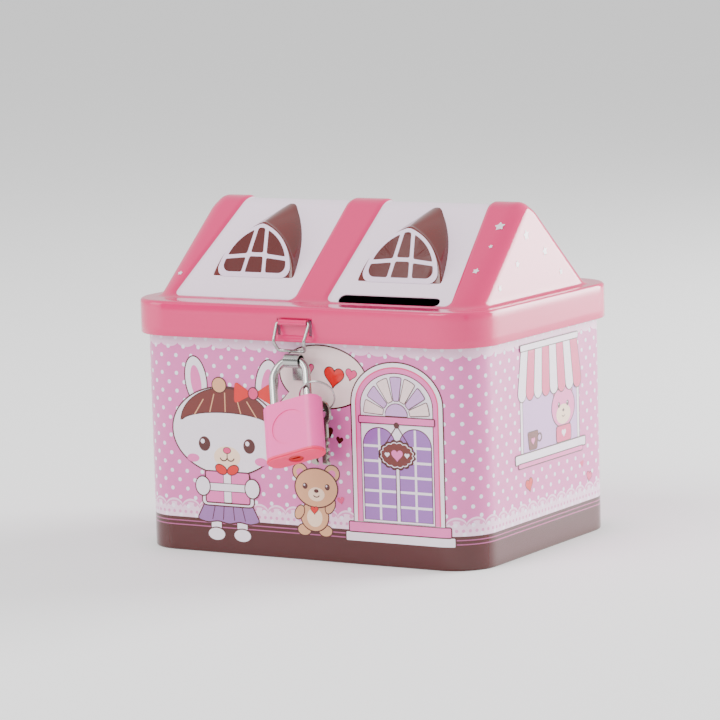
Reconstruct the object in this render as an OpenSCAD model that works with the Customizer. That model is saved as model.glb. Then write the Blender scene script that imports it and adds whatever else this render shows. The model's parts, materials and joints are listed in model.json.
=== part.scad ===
// Tin money box in the shape of a small house, with a hinged roof lid, a wire
// hasp and a hanging padlock with its keys. Millimetres, +Z up, front at -Y.
// The origin is the middle of the base panel's underside.

/* [Box] */
// Width of the printed wall, left to right
body_w = 140; // [120:1:170]
// Depth of the printed wall, front to back
body_d = 106; // [90:1:130]
// Height of the wall's top hem
body_h = 90.3; // [75:0.1:110]
// Radius of the wall's upright corners
corner_r = 15; // [10:0.5:22]
// Thickness of the tin sheet
tin_t = 0.4; // [0.3:0.05:0.6]
// Width of the folded hem round the wall's top
hem_w = 1.2; // [0.8:0.1:2]
// Height of the base panel's seam round the wall's foot
seam_h = 2.4; // [1.6:0.1:4]

/* [Lid] */
// How far the skirt's inner face stands outside the wall
skirt_gap = 2.5; // [1.5:0.1:4]
// Height of the skirt, lower edge to ledge
skirt_h = 12.6; // [9:0.2:18]
// Rounding between the skirt and the ledge
bead_r = 1.5; // [0.8:0.1:2.2]
// Ledge between the skirt and the roof's foot, front and back
ledge_front = 13.7; // [10:0.1:18]
// Ledge between the skirt and the roof's foot, at the ends
ledge_side = 6.6; // [4.5:0.1:9]
// Slope of the roof's front and back
roof_pitch = 39.5; // [32:0.5:45]
// Lean of the gable ends from upright
gable_lean = 4.5; // [2:0.5:10]
// Radius of the rounded ridge, at the sunken panels
ridge_r = 8.3; // [6:0.1:14]
// Height that the ribs stand above the panels
rib_h = 1.0; // [0.6:0.1:1.6]
// Width of the rib between the two panels
rib_w = 12; // [8:0.5:18]
// Width of each sunken panel at its foot
panel_w = 49; // [44:0.5:54]

/* [Dormers and slot] */
// Width of a dormer's window face
dormer_w = 35.5; // [28:0.5:42]
// Height of a dormer's window face along its lean
dormer_h = 23.5; // [18:0.5:26]
// Lean of a dormer's face back from upright
dormer_lean = 25; // [15:1:35]
// Length of the coin slot
slot_l = 41; // [30:0.5:46]
// Width of the coin slot
slot_w = 4.6; // [4.2:0.1:5.5]

/* [Hinge] */
// Diameter of the hinge pin
pin_d = 1.6; // [1.2:0.1:2.4]
// Thickness of the hinge leaves
leaf_t = 0.5; // [0.4:0.05:0.8]
// Length of the hinge along the back
hinge_l = 60; // [40:1:90]
// Running clearance round the pin
pin_clear = 0.05; // [0.02:0.01:0.1]

/* [Hasp] */
// Diameter of the hasp's wire
bail_d = 1.2; // [1:0.1:1.6]
// Width of the hasp between its legs' centres at the top
bail_w = 13.4; // [11:0.2:18]
// Length of the rolled lock eye
eye_l = 6; // [5:0.2:6.4]
// Bore of the rolled lock eye
eye_bore = 4.3; // [4.2:0.05:5]
// Height of the lock eye's centre
eye_z = 72; // [62:0.5:74]

/* [Padlock] */
// Width of the padlock's case
case_w = 22.2; // [20:0.2:28]
// Height of the padlock's case
case_h = 21.5; // [20:0.2:28]
// Thickness of the padlock's case
case_t = 8.8; // [8.4:0.1:11]
// Diameter of the shackle's rod
shackle_d = 3.0; // [2.6:0.05:3.1]
// Distance between the shackle's two legs
leg_gap = 13.3; // [13:0.1:16]
// Bare length of the legs above the case
leg_show = 10.4; // [8:0.2:16]
// How far the case's underside swings out at rest
lock_tilt = 29; // [20:1:45]
// Turn of the hanging padlock in its own plane
lock_roll = 19; // [0:1:22]

/* [Keys] */
// Outer diameter of the key ring
ring_d = 13.5; // [12.5:0.1:16]
// Diameter of the key ring's wire
ring_wire = 1.0; // [0.8:0.05:1.2]
// Overall length of a key
key_l = 22; // [18:0.5:26]
// Thickness of a key
key_t = 0.8; // [0.6:0.05:1]

/* [Hidden] */
$fn = 48;

// Box and lid outlines
skirt_w = body_w + 2 * (skirt_gap + tin_t);
skirt_d = body_d + 2 * (skirt_gap + tin_t);
skirt_r = corner_r + skirt_gap + tin_t;
ledge_z = body_h + tin_t + 0.3;
skirt_z = ledge_z - skirt_h;
bead_drop = 0.6 * bead_r;
foot_z = ledge_z;
foot_w = skirt_w - 2 * ledge_side;
foot_d = skirt_d - 2 * ledge_front;
foot_r = 5;
apex_z = foot_z + foot_d / 2 * tan(roof_pitch);
ridge_z = apex_z - ridge_r / cos(roof_pitch);
ridge_l = foot_w - 2 * (ridge_z - foot_z) * tan(gable_lean);
edge_r = 4;
edge_in = 1.6;

// Panels, mirrored about the middle
panel_in = rib_w / 2;
panel_out = panel_in + panel_w;
panel_mid = (panel_in + panel_out) / 2;
panel_foot = 1.2;

// Dormers
dormer_x = panel_mid;
dormer_y = foot_d / 2 - 6.6;
dormer_z = foot_z + 6.6 * tan(roof_pitch);
dormer_back = 31;
dormer_back_w = 0.72 * dormer_w;
dormer_root = 3;
dormer_lip = 2;
dormer_back_lip = 5;

// Coin slot, cut square to the slope just above its foot
slot_x = 30.4;
slot_up = 2.2;

// Hinge
knuckle_r = pin_d / 2 + pin_clear + leaf_t;
hinge_y = skirt_d / 2 + knuckle_r;
hinge_z = skirt_z - 1.0;
knuckles = 5;
knuckle_gap = 0.3;
knuckle_l = hinge_l / knuckles;
leaf_h = 9;
leaf_drop = 13;

// Hasp
hasp_x = 0.7;
tab_clear = 0.08;
tab_r = bail_d / 2 + tab_clear + 0.45;
bail_y = tin_t / 2 - skirt_d / 2 - tab_r;
bail_z = ledge_z - 5.5;
kink_drop = 6.6;
kink_out = 3.6;
kink_in = 0.5;
foot_back = 2.3;
foot_in = 1.2;
tab_root = 4.7;
tab_side = 0.9;
ball_over = 0.04;
eye_r = eye_bore / 2 + tin_t;
eye_y = -body_d / 2 - eye_r - 1.7;
bail_over = 0.5;
bail_drop = bail_z - eye_z - eye_r - bail_d / 2 - bail_over;

// Padlock, in the shackle's frame: arc centre at the origin, legs down -Z
leg_x = leg_gap / 2;
arc_seat = 0.48;
case_off = 0.5;
case_top = -leg_show;
case_bottom = case_top - case_h;
case_mid = (case_top + case_bottom) / 2;
jacket_t = 1.1;
base_h = 1.2;
badge_r = 6.5;
badge_deep = 0.4;
core_gap = 0.05;
core_w = case_w - 2 * jacket_t;
core_t = case_t - 2 * jacket_t;
core_top = case_top - jacket_t;
core_bottom = case_bottom + base_h;
leg_clear = 0.15;
heel_in = 12;
toe_in = 6.2;
drop = 6.5;
notch_z = case_top - 2.6;
notch_h = 3.85;
notch_up = 1.2;
notch_in = 0.5;
plug_d = 5.0;
plug_top = notch_z - 3;
plug_clear = 0.05;
bolt_h = 1.8;
bolt_w = 2.2;
bolt_tip = leg_x - shackle_d / 2 + notch_in - 0.12;
bolt_l = 3.4;
slot_len = 3.2;
keyway_w = 0.9;

// Ring and keys, in the ring's own frame
ring_r = (ring_d - ring_wire) / 2;
ring_slope = 57;
ring_off = 2.3;
ring_front = shackle_d / 2 + ring_wire / 2 + 0.15;
key_bow = 8.6;
key_hole = 3.6;
key_blade_w = 4;
key_hang = key_hole / 2 - ring_wire / 2 - 0.5;
key_step = 14;
key_turn = -45;

// ---- shared shapes -------------------------------------------------------

// Flat outline with rounded corners
module round_rect(w, d, r) {
    union() {
        square([w - 2 * r, d], center = true);
        square([w, d - 2 * r], center = true);
        for (sx = [-1, 1], sy = [-1, 1])
            translate([sx * (w / 2 - r), sy * (d / 2 - r)]) circle(r);
    }
}

module round_plate(w, d, r, z, h) {
    translate([0, 0, z]) linear_extrude(h) round_rect(w, d, r);
}

module round_tube(w, d, r, t, z, h) {
    translate([0, 0, z]) linear_extrude(h) difference() {
        round_rect(w, d, r);
        round_rect(w - 2 * t, d - 2 * t, r - t);
    }
}

// Rod from one point to another
module rod(a, b, dia) {
    v = b - a;
    l = norm(v);
    translate(a) rotate([0, acos(v[2] / l), atan2(v[1], v[0])]) cylinder(d = dia, h = l);
}

module joint_ball(p, dia) {
    translate(p) sphere(d = dia + ball_over);
}

// Flat outline with half-round ends, along X
module stadium(l, w) {
    union() {
        square([l - w, w], center = true);
        for (s = [-1, 1]) translate([s * (l - w) / 2, 0]) circle(d = w);
    }
}

// ---- box -----------------------------------------------------------------

module body_shell() {
    color([0.84, 0.59, 0.75]) union() {
        round_tube(body_w, body_d, corner_r, tin_t, 0, body_h);
        round_tube(body_w, body_d, corner_r, hem_w, body_h - 2, 2);
    }
}

module base_panel() {
    color([0.45, 0.16, 0.14]) difference() {
        round_plate(body_w - 2 * tin_t, body_d - 2 * tin_t, corner_r - tin_t, 0, seam_h);
        round_plate(body_w - 2 * (tin_t + hem_w), body_d - 2 * (tin_t + hem_w),
                    corner_r - tin_t - hem_w, tin_t * 2, seam_h);
    }
}

module lock_eye() {
    color([0.85, 0.86, 0.88]) difference() {
        union() {
            translate([hasp_x - eye_l / 2, eye_y, eye_z]) rotate([0, 90, 0]) cylinder(r = eye_r, h = eye_l);
            translate([hasp_x - eye_l / 2, eye_y, eye_z - eye_r])
                cube([eye_l, -body_d / 2 - eye_y, tin_t]);
            translate([hasp_x - eye_l / 2, -body_d / 2 - tin_t, eye_z - eye_r - 5])
                cube([eye_l, tin_t, 5 + tin_t]);
        }
        translate([hasp_x - eye_l, eye_y, eye_z]) rotate([0, 90, 0])
            cylinder(d = eye_bore, h = 2 * eye_l);
    }
}

// ---- lid -----------------------------------------------------------------

// Roof from its foot to its rounded ridge, lifted off the panels' level
module roof_hull(lift) {
    w = foot_w + 2 * lift;
    d = foot_d + 2 * lift / sin(roof_pitch);
    half = ridge_l / 2 + lift;
    hull() {
        round_plate(w, d, foot_r, foot_z - 3, 3, $fn = 32);
        translate([0, 0, ridge_z]) rotate([0, 90, 0])
            cylinder(r = ridge_r + lift, h = 2 * (half - edge_r), center = true, $fn = 40);
        translate([0, 0, ridge_z]) rotate([0, 90, 0])
            cylinder(r = ridge_r + lift - edge_in, h = 2 * half, center = true, $fn = 40);
    }
}

// Upright block over one sunken panel
module panel_block(grow) {
    translate([panel_in - grow, -foot_d / 2 - 3 + panel_foot - grow, foot_z - 1])
        cube([panel_w + 2 * grow, foot_d + 6 - 2 * panel_foot + 2 * grow, apex_z]);
}

// Pointed arch of the window face, drawn in X and Y with its foot on Y = 0
module ogive(w, h, inset) {
    r = (h * h + w * w / 4) / w;
    intersection() {
        translate([w / 2 - r, 0]) circle(r - inset, $fn = 96);
        translate([r - w / 2, 0]) circle(r - inset, $fn = 96);
        translate([-w, inset]) square([2 * w, 2 * h]);
    }
}

// Dormer from its leaning window face back to the ridge
module dormer_solid(inset) {
    top_y = -dormer_y + dormer_h * sin(dormer_lean);
    back_top = ridge_z + ridge_r;
    hull() {
        translate([dormer_x, -dormer_y + inset, dormer_z - dormer_root]) rotate([90 - dormer_lean, 0, 0])
            linear_extrude(0.1) offset(dormer_lip, $fn = 24)
                ogive(dormer_w, dormer_h + dormer_root, dormer_lip + inset);
        translate([dormer_x, -dormer_y + dormer_back, back_top - dormer_h]) rotate([90, 0, 0])
            linear_extrude(0.1) offset(dormer_back_lip, $fn = 24)
                ogive(dormer_back_w, dormer_h, dormer_back_lip + inset);
    }
}

// The roof with its ribs, panels and dormers, all drawn in by one inset
module roof_solid(inset) {
    difference() {
        roof_hull(rib_h - inset);
        for (s = [0, 1]) mirror([s, 0, 0]) difference() {
            panel_block(inset);
            roof_hull(-inset);
        }
    }
    for (s = [0, 1], b = [0, 1]) mirror([s, 0, 0]) mirror([0, b, 0]) dormer_solid(inset);
}

// Skirt and ledge with a stepped edge, drawn in by one inset
module skirt_solid(inset) {
    step = 2 * (bead_r / 2 + inset);
    round_plate(skirt_w - 2 * inset, skirt_d - 2 * inset, skirt_r - inset, skirt_z,
                skirt_h - bead_drop - inset);
    round_plate(skirt_w - step, skirt_d - step, skirt_r - step / 2, skirt_z, skirt_h - inset);
}

module lid_shell() {
    color([0.9, 0.42, 0.66]) difference() {
        union() {
            skirt_solid(0);
            roof_solid(0);
        }
        skirt_solid(tin_t);
        round_plate(skirt_w - 2 * tin_t, skirt_d - 2 * tin_t, skirt_r - tin_t, skirt_z - 1, 2);
        intersection() {
            roof_solid(tin_t);
            translate([0, 0, ledge_z - 2]) cylinder(r = skirt_w, h = apex_z);
        }
        translate([slot_x, slot_up * cos(roof_pitch) - foot_d / 2, foot_z + slot_up * sin(roof_pitch)])
            rotate([roof_pitch, 0, 0]) linear_extrude(10, center = true) stadium(slot_l, slot_w);
        translate([hasp_x - bail_w / 2 - 0.4, -skirt_d / 2 - 1, bail_z - tab_root])
            cube([bail_w + 0.8, 2, tab_root + 1]);
    }
}

module skirt_tab() {
    wide = bail_w - 2 * tab_side;
    left = hasp_x - wide / 2;
    color([0.88, 0.40, 0.64]) difference() {
        union() {
            translate([left, -skirt_d / 2, bail_z - tab_root]) cube([wide, tin_t, tab_root + 0.5]);
            translate([left, bail_y, bail_z]) rotate([0, 90, 0])
                cylinder(r = tab_r, h = wide);
        }
        translate([left - 1, bail_y, bail_z]) rotate([0, 90, 0])
            cylinder(r = bail_d / 2 + tab_clear, h = wide + 2);
    }
}

// Hasp wire: top bar, legs kinked outwards, and the bar that ends above the eye
module hasp_bail() {
    top = bail_w / 2;
    mid = top - kink_in;
    low = top - foot_in;
    p0 = [0, bail_y, bail_z];
    kink = [0, bail_y - kink_out, bail_z - kink_drop];
    foot = [0, bail_y - kink_out + foot_back, bail_z - bail_drop];
    color([0.82, 0.83, 0.86]) translate([hasp_x, 0, 0]) union() {
        rod(p0 + [-top, 0, 0], p0 + [top, 0, 0], bail_d);
        for (s = [-1, 1]) {
            rod(p0 + [s * top, 0, 0], kink + [s * mid, 0, 0], bail_d);
            rod(kink + [s * mid, 0, 0], foot + [s * low, 0, 0], bail_d);
            joint_ball(p0 + [s * top, 0, 0], bail_d);
            joint_ball(kink + [s * mid, 0, 0], bail_d);
            joint_ball(foot + [s * low, 0, 0], bail_d);
        }
        rod(foot + [-low, 0, 0], foot + [low, 0, 0], bail_d);
    }
}

// ---- hinge ---------------------------------------------------------------

// Knuckles first, first + 2 and so on, along the hinge
module knuckle_row(first) {
    for (i = [first : 2 : knuckles - 1])
        translate([-hinge_l / 2 + i * knuckle_l + knuckle_gap / 2, hinge_y, hinge_z])
            rotate([0, 90, 0]) cylinder(r = knuckle_r, h = knuckle_l - knuckle_gap);
}

// The same spans of leaf, from an outline in Y and Z
module leaf_row(first, outline) {
    for (i = [first : 2 : knuckles - 1])
        translate([-hinge_l / 2 + i * knuckle_l + knuckle_gap / 2, 0, 0]) rotate([90, 0, 90])
            linear_extrude(knuckle_l - knuckle_gap) polygon(outline);
}

module pin_bore() {
    translate([-hinge_l, hinge_y, hinge_z]) rotate([0, 90, 0])
        cylinder(d = pin_d + 2 * pin_clear, h = 2 * hinge_l);
}

module lid_hinge_leaf() {
    y0 = skirt_d / 2;
    color([0.80, 0.81, 0.84]) difference() {
        union() {
            knuckle_row(1);
            leaf_row(1, [[y0, hinge_z], [y0 + leaf_t, hinge_z],
                         [y0 + leaf_t, skirt_z + 1], [y0, skirt_z + 1]]);
            translate([-hinge_l / 2, y0, skirt_z + 0.5]) cube([hinge_l, leaf_t, leaf_h - 0.5]);
        }
        pin_bore();
    }
}

module body_hinge_leaf() {
    y0 = body_d / 2;
    y1 = hinge_y - knuckle_r;
    z1 = hinge_z - 3.4;
    color([0.80, 0.81, 0.84]) difference() {
        union() {
            knuckle_row(0);
            leaf_row(0, [[y1, hinge_z], [y1 + leaf_t, hinge_z], [y1 + leaf_t, hinge_z - 1],
                         [y0 + leaf_t, z1], [y0 + leaf_t, z1 - 1], [y0, z1 - 1], [y0, z1],
                         [y1, hinge_z - 1]]);
            translate([-hinge_l / 2, y0, hinge_z - leaf_drop]) cube([hinge_l, leaf_t, leaf_drop - 3.6]);
        }
        pin_bore();
    }
}

module hinge_pin() {
    color([0.72, 0.73, 0.76]) union() {
        translate([-hinge_l / 2 - 0.6, hinge_y, hinge_z]) rotate([0, 90, 0])
            cylinder(d = pin_d, h = hinge_l + 1.2);
        for (s = [-1, 1]) translate([s * (hinge_l / 2 + 0.4), hinge_y, hinge_z]) rotate([0, 90, 0])
            cylinder(d = pin_d + 0.7, h = 0.5, center = true);
    }
}

// ---- padlock -------------------------------------------------------------

// Places the shackle's frame: its arc runs through the lock eye
module at_shackle() {
    translate([hasp_x, eye_y, eye_z]) rotate([-lock_tilt, 0, 0])
        translate([0, 0, arc_seat - leg_gap / 2]) rotate([0, -lock_roll, 0]) children();
}

module leg_bore(x, depth) {
    translate([x, 0, case_top - depth]) cylinder(d = shackle_d + 2 * leg_clear, h = depth + 1);
}

module case_block(w, t, z0, z1) {
    translate([case_off, 0, z0]) linear_extrude(z1 - z0) stadium(w, t);
}

module padlock_jacket() {
    color([0.98, 0.59, 0.78]) at_shackle() difference() {
        union() {
            case_block(case_w, case_t, case_bottom + base_h, case_top - 0.6);
            case_block(case_w - 1.2, case_t - 1.2, case_bottom + base_h, case_top);
        }
        case_block(core_w + 2 * core_gap, core_t + 2 * core_gap, case_bottom, core_top);
        leg_bore(-leg_x, 2);
        leg_bore(leg_x, 2);
        translate([case_off, -case_t / 2 - 1, case_mid]) rotate([-90, 0, 0])
            cylinder(r = badge_r, h = 1 + badge_deep);
    }
}

module padlock_base() {
    color([0.95, 0.40, 0.64]) at_shackle() difference() {
        union() {
            case_block(case_w, case_t, case_bottom + 0.5, case_bottom + base_h);
            case_block(case_w - 1, case_t - 1, case_bottom, case_bottom + 0.5);
        }
        translate([case_off, 0, case_bottom - 1]) cylinder(d = plug_d + 0.4, h = 4);
    }
}

module padlock_core() {
    color([0.78, 0.74, 0.62]) at_shackle() difference() {
        case_block(core_w, core_t, core_bottom, core_top);
        translate([-leg_x, 0, case_top - heel_in - drop]) cylinder(d = shackle_d + 2 * leg_clear, h = 40);
        leg_bore(leg_x, toe_in + 1);
        translate([case_off, 0, core_bottom - 1])
            cylinder(d = plug_d + 2 * plug_clear, h = plug_top - core_bottom + 1 + plug_clear);
        translate([case_off - 2.6, -bolt_w / 2 - 0.05, notch_z - bolt_h / 2 - 0.05])
            cube([bolt_tip + 3 - case_off, bolt_w + 0.1, bolt_h + 0.1]);
        translate([case_off, 0, plug_top - 0.1]) cylinder(d = 3.6, h = notch_z - plug_top);
        translate([case_off, 0, core_bottom - 1]) cylinder(d = plug_d + 1.4, h = 1.9);
    }
}

module shackle() {
    color([0.86, 0.87, 0.90]) at_shackle() difference() {
        union() {
            rotate([90, 0, 0]) rotate_extrude(angle = 180) translate([leg_x, 0]) circle(d = shackle_d);
            translate([-leg_x, 0, case_top - heel_in]) cylinder(d = shackle_d, h = leg_show + heel_in);
            translate([leg_x, 0, case_top - toe_in]) cylinder(d = shackle_d, h = leg_show + toe_in);
        }
        translate([leg_x - shackle_d / 2 + notch_in, -3, notch_z - notch_h + notch_up]) mirror([1, 0, 0])
            cube([3, 6, notch_h]);
    }
}

module shackle_spring() {
    color([0.6, 0.6, 0.62]) at_shackle()
        translate([-leg_x, 0, case_top - heel_in - drop + 0.1]) difference() {
            cylinder(d = shackle_d - 0.2, h = drop - 0.2);
            translate([0, 0, -1]) cylinder(d = shackle_d - 1.4, h = drop + 2);
        }
}

module lock_plug() {
    color([0.85, 0.25, 0.25]) at_shackle() difference() {
        union() {
            translate([case_off, 0, case_bottom + 0.3])
                cylinder(d = plug_d, h = plug_top - case_bottom - 0.4);
            translate([case_off + 1.1, 0, plug_top - 0.2])
                cylinder(d = 1, h = notch_z - bolt_h / 2 - 0.25 - plug_top + 0.2);
        }
        translate([case_off - slot_len / 2, -keyway_w / 2, case_bottom - 1]) cube([slot_len, keyway_w, 10]);
    }
}

module locking_bolt() {
    color([0.8, 0.8, 0.83]) at_shackle()
        translate([bolt_tip - bolt_l, -bolt_w / 2, notch_z - bolt_h / 2]) cube([bolt_l, bolt_w, bolt_h]);
}

module bolt_spring() {
    gap = bolt_tip - bolt_l - case_off + 2.5;
    color([0.6, 0.6, 0.62]) at_shackle()
        translate([case_off - 2.5, 0, notch_z]) rotate([0, 90, 0]) difference() {
            cylinder(d = 1.5, h = gap - 0.1);
            translate([0, 0, -1]) cylinder(d = 0.7, h = gap + 2);
        }
}

module plug_retainer() {
    color([0.7, 0.7, 0.72]) at_shackle() translate([case_off, 0, core_bottom]) difference() {
        cylinder(d = plug_d + 1.3, h = 0.8);
        translate([0, 0, -1]) cylinder(d = plug_d + 0.1, h = 3);
    }
}

// ---- ring and keys -------------------------------------------------------

// Ring's frame: its circle lies in X and Y, and -Y runs down behind the case
module at_ring() {
    along = sqrt(ring_r * ring_r - ring_off * ring_off) - ring_front / sin(ring_slope);
    lift = case_top + 4.6 - ring_front / tan(ring_slope);
    at_shackle() translate([leg_x + ring_off, along * sin(ring_slope), lift - along * cos(ring_slope)])
        rotate([90 + ring_slope, 0, 0]) children();
}

module key_ring() {
    color([0.80, 0.81, 0.84]) at_ring() rotate_extrude() translate([ring_r, 0]) circle(d = ring_wire);
}

// Key hanging from the origin: bow, neck and cut blade, flat in X and Z
module key_shape() {
    blade = key_l - key_bow + 0.6;
    translate([0, 0, -key_hang]) difference() {
        union() {
            translate([0, key_t / 2, 0]) rotate([90, 0, 0]) cylinder(d = key_bow, h = key_t);
            translate([-key_blade_w / 2, -key_t / 2, -key_bow / 2 - blade])
                cube([key_blade_w, key_t, blade + 0.6]);
        }
        translate([0, key_t, 0]) rotate([90, 0, 0]) cylinder(d = key_hole, h = 2 * key_t);
        for (i = [0 : 3])
            translate([key_blade_w / 2, 0, -key_bow / 2 - blade + 1.8 + i * 2.4]) rotate([0, 45, 0])
                cube([1.1, 2 * key_t, 1.1], center = true);
        translate([-key_blade_w / 2 - 1, -key_t, -key_bow / 2 - blade - 1]) rotate([0, 30, 0])
            cube([3, 2 * key_t, 1.6]);
    }
}

// Places a key on the ring, upright, a few degrees round from the ring's lowest point
module at_key(step, fan) {
    up_x = sin(lock_roll) * cos(lock_tilt);
    up_y = sin(ring_slope) * sin(lock_tilt) + cos(lock_roll) * cos(ring_slope) * cos(lock_tilt);
    up_z = cos(ring_slope) * sin(lock_tilt) - cos(lock_roll) * sin(ring_slope) * cos(lock_tilt);
    at_ring() rotate([0, 0, -atan2(up_x, up_y)])
        translate([ring_r * sin(step), -ring_r * cos(step), 0])
            rotate([-90 + asin(up_z), 0, 0]) rotate([0, 0, key_turn]) rotate([0, fan, 0]) children();
}

module key_1() {
    color([0.83, 0.84, 0.86]) at_key(-key_step, 3) key_shape();
}

module key_2() {
    color([0.83, 0.84, 0.86]) at_key(key_step, -3) key_shape();
}

body_shell();
base_panel();
lock_eye();
body_hinge_leaf();
lid_shell();
skirt_tab();
hasp_bail();
lid_hinge_leaf();
hinge_pin();
padlock_jacket();
padlock_base();
padlock_core();
shackle();
shackle_spring();
lock_plug();
locking_bolt();
bolt_spring();
plug_retainer();
key_ring();
key_1();
key_2();
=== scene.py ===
# %% [markdown]
# # A tin money box in the shape of a small house
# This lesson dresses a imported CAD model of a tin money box. The CAD holds every
# size, joint and fit. Here each sheet of tin, wire and moulding becomes a smooth
# surface worked out with numpy, and gets a finish made of shader nodes.
# All lengths in the script are metres. `MM` turns millimetres into metres.

# %% Load the frame
import json
import math
import bpy
import bmesh
import numpy as np
from mathutils import Matrix, Vector


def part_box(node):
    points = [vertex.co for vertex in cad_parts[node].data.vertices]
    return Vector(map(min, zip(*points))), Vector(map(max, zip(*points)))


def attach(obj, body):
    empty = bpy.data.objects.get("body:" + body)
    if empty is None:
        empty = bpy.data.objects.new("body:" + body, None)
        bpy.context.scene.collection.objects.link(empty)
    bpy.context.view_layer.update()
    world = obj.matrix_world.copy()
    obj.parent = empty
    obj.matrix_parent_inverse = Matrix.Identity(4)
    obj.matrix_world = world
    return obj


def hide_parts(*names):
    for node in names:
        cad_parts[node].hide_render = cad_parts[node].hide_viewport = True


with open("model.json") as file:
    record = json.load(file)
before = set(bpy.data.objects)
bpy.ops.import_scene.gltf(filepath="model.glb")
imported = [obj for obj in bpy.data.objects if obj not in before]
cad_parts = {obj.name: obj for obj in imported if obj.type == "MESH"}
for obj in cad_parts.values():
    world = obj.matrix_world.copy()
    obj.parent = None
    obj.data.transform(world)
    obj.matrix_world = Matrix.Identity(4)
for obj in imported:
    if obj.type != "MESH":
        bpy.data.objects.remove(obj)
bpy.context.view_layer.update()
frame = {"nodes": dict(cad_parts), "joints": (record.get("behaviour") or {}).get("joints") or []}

MM = 0.001

# %% [markdown]
# ## Sizes taken from the frame
# The wall, the lid and the joints say where everything is. Reading them here
# means that a change in the CAD moves the looks with it.

# %% Main sizes
wall_lo, wall_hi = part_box("body_shell")
lid_lo, lid_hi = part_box("lid_shell")
WALL_X, WALL_Y, WALL_TOP = wall_hi.x, wall_hi.y, wall_hi.z
WALL_R = 15 * MM
SKIRT_X, SKIRT_Y, SKIRT_LOW = lid_hi.x, lid_hi.y, lid_lo.z
SKIRT_R = WALL_R + (SKIRT_X - WALL_X)
ROOF_TOP = lid_hi.z
LEDGE_Z = WALL_TOP + 0.7 * MM
TIN = 0.4 * MM
joints = {j["name"]: j for j in frame["joints"]}
print(f"wall {2 * WALL_X / MM:.1f} x {2 * WALL_Y / MM:.1f} mm, lid {2 * SKIRT_X / MM:.1f} x {2 * SKIRT_Y / MM:.1f} mm")

# %% [markdown]
# ## Camera
# A long lens from far away keeps the box's edges almost parallel, as product
# pictures have them. The camera is placed by its angles round the box, its
# distance, a little roll, and a small slide across its own picture plane.

# %% Camera
AZIMUTH, ELEVATION, ROLL = math.radians(30.90), math.radians(7.61), math.radians(-1.585)
DISTANCE, SLIDE_X, SLIDE_Z, LENS = 1.3908, -7.17 * MM, 64.31 * MM, 189.1

back = Vector((math.sin(AZIMUTH) * math.cos(ELEVATION), -math.cos(AZIMUTH) * math.cos(ELEVATION),
               math.sin(ELEVATION)))
level = Vector((math.cos(AZIMUTH), math.sin(AZIMUTH), 0))
upward = back.cross(level)
cam_right = math.cos(ROLL) * level + math.sin(ROLL) * upward
cam_up = -math.sin(ROLL) * level + math.cos(ROLL) * upward
camera = bpy.data.objects.new("camera", bpy.data.cameras.new("camera"))
camera.data.lens, camera.data.sensor_width = LENS, 36.0
camera.matrix_world = Matrix.Translation(back * DISTANCE + cam_right * SLIDE_X + cam_up * SLIDE_Z) @ Matrix(
    (cam_right, cam_up, back)).transposed().to_4x4()
bpy.context.scene.collection.objects.link(camera)
bpy.context.scene.camera = camera
print("camera at", [round(c, 3) for c in camera.location])

# %% [markdown]
# ## Stage and light
# A pale floor and a pale world give printed tin something soft to reflect. One
# broad light stands high in front, a weaker one fills from the left, and a card
# of light lies low behind the right-hand end, which glossy tin mirrors as glare.

# %% Floor
def flat_material(name, colour, roughness):
    """Plain shader for things that aren't part of the object."""
    material = bpy.data.materials.new(name)
    material.use_nodes = True
    shader = material.node_tree.nodes["Principled BSDF"]
    shader.inputs["Base Color"].default_value = (*colour, 1)
    shader.inputs["Roughness"].default_value = roughness
    return material


FLOOR_HALF = 6.0
floor_mesh = bpy.data.meshes.new("floor")
floor_mesh.from_pydata([(-FLOOR_HALF, -FLOOR_HALF, 0), (FLOOR_HALF, -FLOOR_HALF, 0),
                        (FLOOR_HALF, FLOOR_HALF, 0), (-FLOOR_HALF, FLOOR_HALF, 0)], [], [(0, 1, 2, 3)])
floor_mesh.materials.append(flat_material("pale_floor", (0.94, 0.94, 0.94), 0.6))
floor = bpy.data.objects.new("floor", floor_mesh)
bpy.context.scene.collection.objects.link(floor)

# %% Lights
world = bpy.data.worlds.new("pale_world")
bpy.context.scene.world = world
world.use_nodes = True
world.node_tree.nodes["Background"].inputs["Color"].default_value = (1.0, 1.0, 1.0, 1)
world.node_tree.nodes["Background"].inputs["Strength"].default_value = 1.05


def soft_light(name, place, aim, size, power):
    """Square area light at a place, turned to face a point. The camera doesn't see it."""
    data = bpy.data.lights.new(name, "AREA")
    data.shape, data.size, data.energy = "SQUARE", size, power
    light = bpy.data.objects.new(name, data)
    light.location = place
    light.rotation_euler = (Vector(aim) - Vector(place)).to_track_quat("-Z", "Y").to_euler()
    light.visible_camera = False
    bpy.context.scene.collection.objects.link(light)
    return light


soft_light("key_light", (-0.35, -1.3, 1.5), (0, 0, 0.06), 1.1, 26)
soft_light("left_fill", (-1.3, -0.9, 0.5), (0, 0, 0.06), 0.9, 8)
soft_light("end_card", (0.75, 0.95, 0.35), (0.05, 0, 0.05), 0.8, 40)


def dark_card(name, place, aim, width, height):
    """Dark board that only mirrors and glossy surfaces see. It draws a dark line along bright wire."""
    half_w, half_h = width / 2, height / 2
    mesh = bpy.data.meshes.new(name)
    mesh.from_pydata([(-half_w, -half_h, 0), (half_w, -half_h, 0), (half_w, half_h, 0),
                      (-half_w, half_h, 0)], [], [(0, 1, 2, 3)])
    mesh.materials.append(flat_material(name, (0.01, 0.01, 0.012), 0.9))
    card = bpy.data.objects.new(name, mesh)
    card.location = place
    card.rotation_euler = (Vector(aim) - Vector(place)).to_track_quat("-Z", "Y").to_euler()
    card.visible_camera = card.visible_diffuse = card.visible_shadow = False
    bpy.context.scene.collection.objects.link(card)


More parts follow.
